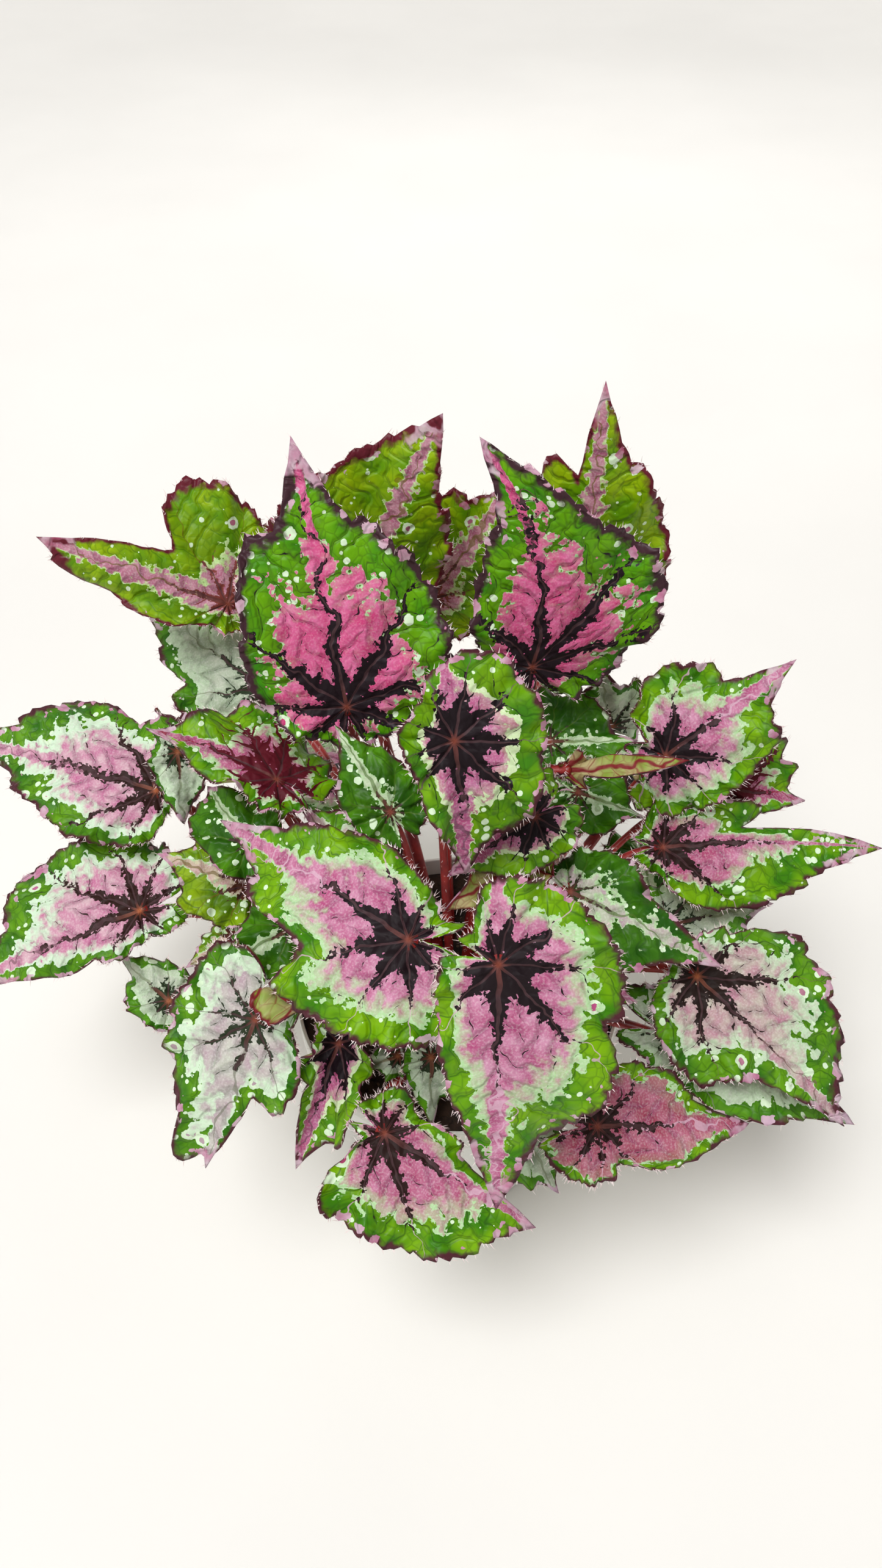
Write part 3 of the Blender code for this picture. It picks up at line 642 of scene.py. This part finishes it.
# How far each noise moves an edge
sways = {
    "cloud": 1.6, "crumb": 0.6, "cell": 0.22, "vein": 0.5, "stripe": 2.6, "zone": 2.0, "rimCell": 0.14,
    "rim": 0.28, "dot": 0.35, "blotch": 0.25, "arm": 0.05, "armCell": 0.022, "finger": 0.02, "margin": 0.12,
    "marginCloud": 0.16, "tooth": 0.9, "tip": 0.2, "height": 0.2,
}
sizes = {
    "dot": 0.24, "blotch": 0.26, "heart": 0.13, "speck": 0.09, "tooth": 0.40, "toothDepth": 0.045,
    "rimStart": 0.945, "lobe": -0.22, "slant": -0.85, "stagger": 0.37, "seedStep": 37.0, "stripeBlend": 0.3,
    "armSlim": 1.35, "armEnd": 0.02, "finger": 0.1, "midrib": 0.7, "veinShown": 0.7, "tipShown": 0.85,
    "hubGlow": 0.05, "midribGlow": 0.08, "glowStart": 0.01, "glowShown": 0.38,
}
# Where a value starts and ends, and what it gives at each; 0 and 1 where that is left out
ranges = {
    "stripe": (0.1, 1, 2.2, 0.5), "inner": (0.94, 0.95, 1, 0), "greenCloud": (0.38, 0.62),
    "netLine": (0, 0.08, 0.38, 0), "sideLine": (0, 0.07, 0.8, 0), "dusk": (0.5, 0.8, 0.55, 0),
    "innerCloud": (0.35, 0.68), "fold": (0, 0.32, 0.55, 0), "rim": (0.70, 0.90), "sparkle": (0.46, 0.68),
    "fineLine": (0, 0.03, 0.30, 0), "midribArm": (0.2, 0.45, 1.4, 1), "veinWidth": (0, 0.9, 0.0055, 0.0016),
    "hub": (0.006, 0.024, 0.8, 0), "margin": (-0.035, 0.015), "patchCloud": (0.35, 0.65),
    "tip": (0.04, 0.06, 1, 0), "tipShare": (0.91, 0.93), "underCloud": (0.40, 0.62),
    "underLine": (0.004, 0.012, 1, 0), "swell": (0, 0.35), "pad": (0, 0.3, 0, 0.25),
    "gloss": (0, 1, 0.42, 0.58),
}
tints = {
    "sparkle": "#F4F0F0", "starVein": "#4A3236", "palePatch": "#C8B4BE", "underLow": "#7E9A34",
    "underHigh": "#B4A878", "underVein": "#7A2426", "underMargin": "#6E1C24",
}
maths, blend, spreading = "ShaderNodeMath", "ShaderNodeMixRGB", "ShaderNodeMapRange"


def makePattern():
    group = bpy.data.node_groups.new("rexPattern", "ShaderNodeTree")
    for key, value in usualLook.items():
        kind = "Color" if isinstance(value, str) else "Float"
        group.interface.new_socket(name=key, in_out="INPUT", socket_type="NodeSocket" + kind)
    gives = {"colour": "Color", "roughness": "Float", "height": "Float", "under": "Color"}
    for key, kind in gives.items():
        group.interface.new_socket(name=key, in_out="OUTPUT", socket_type="NodeSocket" + kind)

    def calc(operation, *values, **settings):
        return addNode(group, maths, values, operation=operation, **settings)

    def times(first, second, *added):
        return calc("MULTIPLY_ADD" if added else "MULTIPLY", first, second, *added)

    def isBelow(value, limit):
        return calc("LESS_THAN", value, limit)

    def mix(share, low, high):
        return addNode(group, blend, [share, low, high])

    def spread(value, name, **settings):
        return addNode(group, spreading, [value, *ranges[name]], **settings)

    def noiseOf(name, detail, roughness=0.5):
        inputs = {"Vector": place, "Scale": scales[name], "Detail": detail, "Roughness": roughness}
        return addNode(group, "ShaderNodeTexNoise", inputs)

    def cellsOf(name):
        # how far off the nearest cell's middle lies, and random numbers drawn for that cell
        node = addNode(group, "ShaderNodeTexVoronoi", {"Vector": place, "Scale": scales[name]})
        drawn = addNode(group, "ShaderNodeSeparateColor", [node.outputs["Color"]]).outputs
        return node.outputs["Distance"], drawn

    look = addNode(group, "NodeGroupInput").outputs
    # flat is the blade laid flat; part is the share of the way to the edge, and the leaf's seed
    flat, part = [addNode(group, "ShaderNodeUVMap", uv_map=name) for name in ("flat", "part")]
    x, y = addNode(group, "ShaderNodeSeparateXYZ", [flat]).outputs[:2]
    share = addNode(group, "ShaderNodeSeparateXYZ", [part]).outputs[0]
    shift = addNode(group, "ShaderNodeVectorMath", [part, (0, sizes["seedStep"], 0)], operation="MULTIPLY")
    place = addNode(group, "ShaderNodeVectorMath", [flat, shift], operation="ADD")

    # noises: 14 mm clouds, 3.5 mm crumbs, 1.4 mm cells that make the stepped edges of the real zones
    cloud, crumb, cell = noiseOf("cloud", 2.0), noiseOf("crumb", 3.0), cellsOf("cell")[1][0]
    cloudOff, crumbOff, cellOff = [calc("SUBTRACT", value, 0.5) for value in (cloud, crumb, cell)]
    rough = times(cloudOff, sways["cloud"])
    rough = times(crumbOff, sways["crumb"], rough)
    rough = times(cellOff, sways["cell"], rough)

    # main veins: rays from the hub at even bearings; how far off the nearest one lies, and how far along it
    theta = calc("ARCTAN2", x, y)
    radius = addNode(group, "ShaderNodeVectorMath", [flat], operation="LENGTH").outputs["Value"]
    theta = times(cloudOff, sways["vein"], theta)
    near = calc("DIVIDE", theta, fine["veinStep"])
    ray = calc("ROUND", near)
    off = calc("ABSOLUTE", calc("SUBTRACT", near, ray))
    off = times(off, fine["veinStep"])
    aside = times(calc("SINE", off), radius)
    ahead = times(calc("COSINE", off), radius)
    # side veins leave the main ones every 10 mm, slanting outwards
    steps = times(aside, sizes["slant"], ahead)
    steps = times(steps, scales["sideVein"])
    steps = times(ray, sizes["stagger"], steps)
    side = calc("PINGPONG", steps, 0.5)

    # zones from the hub out: how far through the pink or silver middle, 1 at its edge
    stripe = times(look["stripe"], perMm)
    stripe = times(stripe, spread(share, "stripe"))
    across = calc("DIVIDE", calc("ABSOLUTE", x), stripe)
    across = times(across, times(crumbOff, sways["stripe"], 1.0))
    through = calc("DIVIDE", share, look["innerReach"])
    through = calc("SMOOTH_MIN", through, across, sizes["stripeBlend"])
    wander = times(rough, look["ragged"])
    wander = calc("DIVIDE", wander, look["innerReach"])
    wander = times(wander, sways["zone"], through)
    lobes = times(side, sizes["lobe"], wander)
    isInner = spread(lobes, "inner")
    rimEnd = calc("DIVIDE", look["rimWidth"], look["innerReach"])
    rimEnd = times(cellOff, sways["rimCell"], rimEnd)
    inRim = isBelow(lobes, calc("ADD", rimEnd, sizes["rimStart"]))

    # green: lighter and darker clouds, darker at the middle and along a fine net of veins
    green = mix(spread(cloud, "greenCloud"), look["outer"], look["outerLight"])
    netPlace = {"Vector": place, "Scale": scales["net"]}
    net = addNode(group, "ShaderNodeTexVoronoi", netPlace, feature="DISTANCE_TO_EDGE")
    lines = calc("MAXIMUM", spread(net, "netLine"), spread(side, "sideLine"))
    green = mix(lines, green, look["outerShade"])
    green = mix(spread(share, "dusk"), green, look["outerShade"])
    # pale round spots, and fewer big ones with a darker ring
    dotOff, dotCell = cellsOf("dot")
    dotSize = times(look["spotSize"], sizes["dot"])
    dotSize = times(dotSize, dotCell[0])
    dotSize = times(crumbOff, sways["dot"], dotSize)
    isDot = times(isBelow(dotOff, dotSize), isBelow(dotCell[1], look["spotAmount"]))
    blotOff, blotCell = cellsOf("blotch")
    blotEdge = times(crumbOff, sways["blotch"], blotOff)
    isBlot = times(isBelow(blotEdge, sizes["blotch"]), isBelow(blotCell[1], look["blotchAmount"]))
    green = mix(calc("MAXIMUM", isDot, isBlot), green, look["spot"])
    isHeart = times(isBelow(blotEdge, sizes["heart"]), isBlot)
    green = mix(isHeart, green, look["inner"])

    # the middle: clouds of pink or silver with a fine grain of white specks, partly the pale air under the
    # skin and partly painted glint, the sparkle the skin throws back
    milk = noiseOf("milk", 5.0, 0.55)
    inner = mix(spread(milk, "innerCloud"), look["inner"], look["innerLight"])
    # painted shade: the middle's colour darkens towards each side vein, where the quilted tissue dips, and
    # stays light on the swells between them
    fold = spread(side, "fold", interpolation_type="SMOOTHSTEP")
    inner = mix(fold, inner, look["innerPaintedShade"])
    rimNear = spread(times(crumbOff, sways["rim"], lobes), "rim")
    inner = mix(times(rimNear, look["rimSoft"]), inner, look["rim"])
    middle = mix(isInner, look["rim"], inner)
    # painted glint in part: white specks for the skin's sparkle; the real grain is 0.2 mm and is drawn at 0.9
    # mm, so that the render shows it
    sparkle = spread(noiseOf("sparkle", 2.0), "sparkle")
    middle = mix(times(sparkle, look["grain"]), middle, tints["sparkle"])
    middle = mix(spread(side, "fineLine"), middle, look["vein"])
    colour = mix(inRim, green, middle)

    # the dark star: arms along the main veins that taper to nothing, a shorter one down the midrib
    forward = spread(calc("ABSOLUTE", theta), "midribArm")
    armShare = calc("DIVIDE", times(share, forward), look["starReach"])
    taper = calc("SUBTRACT", 1.0, armShare, use_clamp=True)
    slim = calc("POWER", taper, sizes["armSlim"])
    width = times(times(look["starWidth"], perMm), slim)
    bite = times(cellOff, sways["armCell"], aside)
    isArm = isBelow(times(crumbOff, sways["arm"], bite), width)
    sideOff = times(side, sizes["finger"])
    isFinger = isBelow(times(crumbOff, sways["finger"], sideOff), times(width, look["feather"]))
    isStar = calc("MAXIMUM", isArm, isFinger)
    isStar = times(isStar, calc("GREATER_THAN", taper, sizes["armEnd"]))
    star = mix(isBelow(dotOff, sizes["speck"]), look["star"], look["innerLight"])
    colour = mix(isStar, colour, star)

    # main veins and the hub they meet in: thin and dull in the star, rusty where they meet
    isMidrib = isBelow(calc("ABSOLUTE", ray), 0.5)
    wider = times(isMidrib, sizes["midrib"], 1.0)
    veinLine = isBelow(aside, times(spread(share, "veinWidth"), wider))
    veinColour = mix(isStar, look["vein"], tints["starVein"])
    colour = mix(times(veinLine, sizes["veinShown"]), colour, veinColour)
    glowEnd = times(isMidrib, sizes["midribGlow"], sizes["hubGlow"])
    glow = addNode(group, spreading, [radius, sizes["glowStart"], glowEnd, sizes["glowShown"], 0.0])
    glow = calc("MAXIMUM", times(glow, veinLine), spread(radius, "hub"))
    colour = mix(glow, colour, look["hub"])

    # the margin: a dark ragged line that comes and goes, with pink teeth
    inset = calc("SUBTRACT", 1.0, share)
    inset = times(crumbOff, sways["margin"], inset)
    inset = times(cloudOff, sways["marginCloud"], inset)
    isMargin = spread(calc("SUBTRACT", look["marginWidth"], inset), "margin")
    colour = mix(isMargin, colour, look["margin"])
    toothOff, toothCell = cellsOf("tooth")
    toothEdge = times(crumbOff, sways["tooth"], toothOff)
    isPatch = times(isBelow(toothCell[1], look["patchAmount"]), isBelow(toothEdge, sizes["tooth"]))
    outside = calc("ADD", look["marginWidth"], sizes["toothDepth"])
    isPatch = times(isPatch, isBelow(inset, outside))
    patch = mix(spread(milk, "patchCloud"), look["patch"], tints["palePatch"])
    colour = mix(isPatch, colour, patch)

    # the very tip is as pink as the teeth
    tipShare = times(crumbOff, sways["tip"], share)
    isTip = times(spread(calc("ABSOLUTE", theta), "tip"), spread(tipShare, "tipShare"))
    colour = mix(times(isTip, sizes["tipShown"]), colour, patch)

    # the underside: pale olive, a raised red net of veins, red along the edge
    under = mix(spread(cloud, "underCloud"), tints["underLow"], tints["underHigh"])
    under = mix(calc("MAXIMUM", spread(aside, "underLine"), lines), under, tints["underVein"])
    under = mix(isMargin, under, tints["underMargin"])

    # heights for the bump: tissue swells between the veins and the net
    swell = spread(side, "swell", interpolation_type="SMOOTHERSTEP")
    pad = spread(net, "pad", interpolation_type="SMOOTHSTEP")
    height = times(crumbOff, sways["height"], calc("ADD", swell, pad))
    addNode(group, "NodeGroupOutput", [colour, spread(inRim, "gloss"), height, under])
    return group


def newFinish(name):
    finish = bpy.data.materials.new(name)
    finish.use_nodes = True
    return finish, finish.node_tree, finish.node_tree.nodes["Principled BSDF"]


def addBump(tree, shader, strength, depth, height):
    bump = addNode(tree, "ShaderNodeBump", {"Strength": strength, "Distance": depth * mm, "Height": height})
    tree.links.new(bump.outputs["Normal"], shader.inputs["Normal"])


# Leaf skin, a living begonia blade: soft satin sheen, wax over quilted tissue; depth in mm
skin = {"ior": 1.42, "specular": 0.25, "bump": 0.7, "depth": 1.0}


def makeLeafSkin(name, look, shows="colour"):
    finish, tree, shader = newFinish(name)
    pattern = addNode(tree, "ShaderNodeGroup", {**usualLook, **look}, node_tree=rexPattern)
    shader.inputs["IOR"].default_value = skin["ior"]
    shader.inputs["Specular IOR Level"].default_value = skin["specular"]
    tree.links.new(pattern.outputs[shows], shader.inputs["Base Color"])
    tree.links.new(pattern.outputs["roughness"], shader.inputs["Roughness"])
    addBump(tree, shader, skin["bump"], skin["depth"], pattern.outputs["height"])
    return finish


# Grown and earthen finishes: a cloud of two colours, specks of a third and a fine grain. Sizes in mm
grainDepth = 0.4
plainLooks = {
    # leaf stalk, juicy and red, pale lens-shaped pores and a satin skin
    "redStalk": dict(
        low="#6A1218", high="#A62C28", cloud=9.0, speck="#D08C84", speckSize=1.6, speckAmount=0.10,
        roughness=0.42, bump=0.25, grain=0.9,
    ),
    # leaf hair, thin dry cells that catch the light
    "leafHair": dict(
        low="#DCC0C2", high="#F0E6E4", cloud=4.0, speck="#E8B8C0", speckSize=1.5, speckAmount=0.2,
        roughness=0.5, bump=0.05, grain=0.5,
    ),
    # polypropylene, injection moulded: a soft shine over a fine orange peel
    "whitePolypropylene": dict(
        low="#D6D8D2", high="#E2E3DE", cloud=45.0, speck="#C6C8C0", speckSize=6.0, speckAmount=0.05,
        roughness=0.38, bump=0.12, grain=0.8,
    ),
    # peat and composted bark: matt, dark and crumbly
    "pottingMix": dict(
        low="#1C120C", high="#3A281C", cloud=7.0, speck="#6A5442", speckSize=2.4, speckAmount=0.16,
        roughness=0.95, bump=0.9, grain=1.3,
    ),
    # perlite, puffed volcanic glass: white and chalky
    "perlite": dict(
        low="#C8C4BA", high="#E8E6E0", cloud=2.0, speck="#B4AEA2", speckSize=1.0, speckAmount=0.3,
        roughness=0.9, bump=0.4, grain=0.6,
    ),
    # paper backdrop, uncoated and even
    "palePaper": dict(
        low="#E4E2DE", high="#E8E6E2", cloud=300.0, speck="#E6E4E0", speckSize=90.0, speckAmount=0.1,
        roughness=0.85, bump=0.0, grain=2.0,
    ),
}


def makeFinish(name):
    look = plainLooks[name]
    finish, tree, shader = newFinish(name)
    shader.inputs["Roughness"].default_value = look["roughness"]
    place = addNode(tree, "ShaderNodeTexCoord").outputs["Object"]

    def noiseOf(size, detail):
        inputs = {"Vector": place, "Scale": 1 / mm / size, "Detail": detail}
        return addNode(tree, "ShaderNodeTexNoise", inputs)

    high = addNode(tree, spreading, [noiseOf(look["cloud"], 3.0), 0.35, 0.65])
    colour = addNode(tree, blend, [high, look["low"], look["high"]])
    cells = addNode(tree, "ShaderNodeTexVoronoi", {"Vector": place, "Scale": 1 / mm / look["speckSize"]})
    cell = addNode(tree, "ShaderNodeSeparateColor", [cells.outputs["Color"]])
    shown = addNode(tree, maths, [cell, look["speckAmount"]], operation="LESS_THAN")
    isSpeck = addNode(tree, spreading, [cells.outputs["Distance"], 0.25, 0.4, 0.7, 0.0])
    isSpeck = addNode(tree, maths, [isSpeck, shown], operation="MULTIPLY")
    colour = addNode(tree, blend, [isSpeck, colour, look["speck"]])
    tree.links.new(colour.outputs[0], shader.inputs["Base Color"])
    if look["bump"]:
        grain = noiseOf(look["grain"], 2.0)
        addBump(tree, shader, look["bump"], grainDepth, grain)
    return finish


rexPattern = makePattern()
underSkin = makeLeafSkin("leafUnderside", {}, "under")
stalkSkin, hairSkin = makeFinish("redStalk"), makeFinish("leafHair")
tops = {look: makeLeafSkin(look + "LeafSkin", leafLooks[look]) for look in leafLooks}

leaves = {name: {**usual, **row} for name, row in leafRows.items()}
for number, leaf in enumerate(leaves.values(), 1):
    leaf["number"] = number
    leaf["seed"] = number * 0.37 % 1
    leaf["build"] = longLeaf if leafAxes(leaf)[4] > form["longFrom"] else shortLeaf
spreadRoots(list(leaves.values()))
for name, leaf in leaves.items():
    makeLeaf(name, leaf, [tops[leaf["look"]], underSkin, stalkSkin, hairSkin])
print("leaves grown:", len(leaves))


# Pot: a finer turned form of the CAD part's nursery pot, in mm

pot = {
    "height": 130, "rim": 75, "band": 14, "step": 3, "base": 53, "wall": 1.6, "floor": 2.5, "edge": 0.5,
    "baseEdge": 1.5, "sides": 128, "drains": 5, "drain": 5, "drainCircle": 30, "foot": 0.5, "ring": 6,
    "creaseAngle": 25,
}


def turnedForm(profile, sides):
    # a profile of (radius, height) points turned about the Z axis; the ends stand on the axis
    bm = bmesh.new()
    line = [bm.verts.new((r * mm, 0, z * mm)) for r, z in profile]
    edges = [bm.edges.new(pair) for pair in zip(line, line[1:])]
    bmesh.ops.spin(
        bm, geom=line + edges, cent=(0, 0, 0), axis=(0, 0, 1), angle=math.tau, steps=sides, use_merge=True,
    )
    weld(bm, bm.verts)
    bmesh.ops.recalc_face_normals(bm, faces=bm.faces)
    return bm


def wallAt(height):
    # outer radius of the tapered wall under the rim band
    return pot["base"] + (pot["rim"] - pot["step"] - pot["base"]) * height / (pot["height"] - pot["band"])


def makePot():
    top, outer, wall, under = pot["height"], pot["rim"], pot["wall"], pot["height"] - pot["band"]
    base, foot, ring, edge, floor = pot["base"], pot["foot"], pot["ring"], pot["baseEdge"], pot["floor"]
    profile = [
        (0, foot), (base - ring - 1, foot), (base - ring, 0), (base - edge, 0), (base, edge),
        (wallAt(under), under), (outer, under), (outer, top), (outer - wall, top),
        (outer - wall, under + wall), (wallAt(under) - wall, under - wall), (wallAt(floor) - wall, floor),
        (0, floor),
    ]
    bm = turnedForm(profile, pot["sides"])
    sharp = math.radians(pot["creaseAngle"])
    creases = [e for e in bm.edges if len(e.link_faces) == 2 and e.calc_face_angle() > sharp]
    bmesh.ops.bevel(
        bm, geom=creases, offset=pot["edge"] * mm, offset_type="OFFSET", affect="EDGES", segments=3,
        profile=0.5, material=-1, clamp_overlap=True,
    )
    for f in bm.faces:
        f.smooth = True
    thing = addThing("nursery_pot", meshOf(bm, "nursery_pot", [makeFinish("whitePolypropylene")]))
    cutters = bmesh.new()
    for i in range(pot["drains"]):
        bearing = math.tau * (i + 0.5) / pot["drains"]
        place = Vector((math.cos(bearing), math.sin(bearing), 0)) * pot["drainCircle"] * mm
        bmesh.ops.create_cone(
            cutters, cap_ends=True, segments=32, radius1=pot["drain"] * mm, radius2=pot["drain"] * mm,
            depth=12 * mm, matrix=Matrix.Translation(place),
        )
    drill = addThing("drill", meshOf(cutters, "drill"))
    holes = thing.modifiers.new("drains", "BOOLEAN")
    holes.object, holes.solver = drill, "EXACT"
    thing.data = appliedMesh(thing)
    thing.modifiers.clear()
    bpy.data.objects.remove(drill, do_unlink=True)
    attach(thing, "root")
    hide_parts("pot")


makePot()
print("pot turned")


# Soil: a lumpy filled body, crumbs of bark and grains of perlite on it, in mm

soil = {
    "side": 73.1, "bottom": 2.8, "gap": 0.6, "top": 119.0, "middle": 121.4, "rings": 26, "sides": 96,
    "lump": 1.1, "lumpWide": 9, "clodWide": 3.2, "crumbs": 520, "crumb": (0.8, 2.6), "bark": 60,
    "perlite": 46, "seed": 11, "crumbForm": (1, 1, 0.7), "barkForm": (2.6, 1.2, 0.5), "sunk": 0.12,
    "tilt": 0.25, "rough": 0.12,
}


def soilHeight(x, y):
    share = min(math.hypot(x, y) / soil["side"], 1)
    wide, clod = soil["lumpWide"], soil["clodWide"]
    lump = noise.noise((x / wide, y / wide, 1.7)) + 0.6 * noise.noise((x / clod, y / clod, 5.1))
    fade = min(1, (1 - share) * 8)
    return soil["top"] + (soil["middle"] - soil["top"]) * (1 - share * share) + soil["lump"] * lump * fade


def makeSoil():
    reach = [soil["side"] * (i / soil["rings"]) for i in range(soil["rings"] + 1)]
    under, wall = pot["height"] - pot["band"], pot["wall"] + soil["gap"]
    profile = [(r, soil["top"]) for r in reach] + [
        (soil["side"], under + wall), (wallAt(under) - wall, under - pot["wall"]),
        (wallAt(soil["bottom"]) - wall, soil["bottom"]), (0, soil["bottom"]),
    ]
    bm = turnedForm(profile, soil["sides"])
    for v in bm.verts:
        if v.co.z > (soil["top"] - 0.1) * mm:
            v.co.z = soilHeight(v.co.x / mm, v.co.y / mm) * mm
    dice = random.Random(soil["seed"])
    for i in range(soil["crumbs"]):
        radius = (soil["side"] - 3) * math.sqrt(dice.random())
        bearing = dice.uniform(0, math.tau)
        x, y = radius * math.cos(bearing), radius * math.sin(bearing)
        size = dice.uniform(*soil["crumb"])
        stretch = Matrix.Diagonal((*soil["crumbForm" if i >= soil["bark"] else "barkForm"], 1))
        turn = Matrix.Rotation(dice.uniform(0, math.tau), 4, "Z")
        turn = turn @ Matrix.Rotation(dice.gauss(0, soil["tilt"]), 4, "X")
        place = Matrix.Translation(Vector((x, y, soilHeight(x, y) + size * soil["sunk"])) * mm)
        made = bmesh.ops.create_icosphere(bm, subdivisions=1, radius=size * mm, matrix=place @ turn @ stretch)
        for v in made["verts"]:
            v.co += Vector([dice.gauss(0, soil["rough"]) * size for _ in range(3)]) * mm
        if i >= soil["crumbs"] - soil["perlite"]:
            for f in {f for v in made["verts"] for f in v.link_faces}:
                f.material_index = 1
    for f in bm.faces:
        f.smooth = len(f.verts) == 4
    finishes = [makeFinish("pottingMix"), makeFinish("perlite")]
    thing = addThing("potting_mix", meshOf(bm, "potting_mix", finishes))
    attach(thing, "root")
    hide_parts("soil")


makeSoil()
print("soil filled")


# Stage: a plain pale floor that sweeps up far away, soft lights; sizes in metres

stage = {"half": 9.0, "flat": 3.5, "rise": 5.5, "cells": 64, "under": 0.0005}


def makeStage():
    bm = bmesh.new()
    bmesh.ops.create_grid(bm, x_segments=stage["cells"], y_segments=stage["cells"], size=stage["half"])
    for v in bm.verts:
        far = max(0.0, math.hypot(v.co.x, v.co.y) - stage["flat"]) / (stage["half"] - stage["flat"])
        v.co.z = stage["rise"] * far ** 2 - stage["under"]
    for f in bm.faces:
        f.smooth = True
    addThing("floor", meshOf(bm, "floor", [makeFinish("palePaper")]))


lights = [
    # name, kind, place, aim, size in metres or degrees, power
    ("window", "SUN", (-0.35, -0.35, 1.4), (0, 0, 0.1), 30, 2.1),
    ("overhead", "AREA", (-0.30, -0.30, 1.4), (0, 0, 0.1), 0.8, 4),
    ("left", "AREA", (-1.3, -0.5, 0.9), (0, 0, 0.2), 1.0, 2),
    ("behind", "AREA", (0.1, 1.4, 0.9), (0, 0, 0.2), 1.0, 3),
]
sky = {"Color": "#F4F2F0", "Strength": 0.33}


def makeLights():
    for name, kind, place, aim, size, power in lights:
        data = bpy.data.lights.new(name, kind)
        if kind == "SUN":
            data.angle = math.radians(size)
        else:
            data.size = size
        data.energy = power
        thing = addThing(name, data)
        thing.location = place
        thing.rotation_euler = (Vector(aim) - Vector(place)).to_track_quat("-Z", "Y").to_euler()
    world = bpy.data.worlds.new("studio")
    world.use_nodes = True
    background = world.node_tree.nodes["Background"].inputs
    background["Color"].default_value = linear(sky["Color"])
    background["Strength"].default_value = sky["Strength"]
    bpy.context.scene.world = world
    bpy.context.scene.view_settings.view_transform = "Standard"


makeStage()
makeLights()
print("stage set")
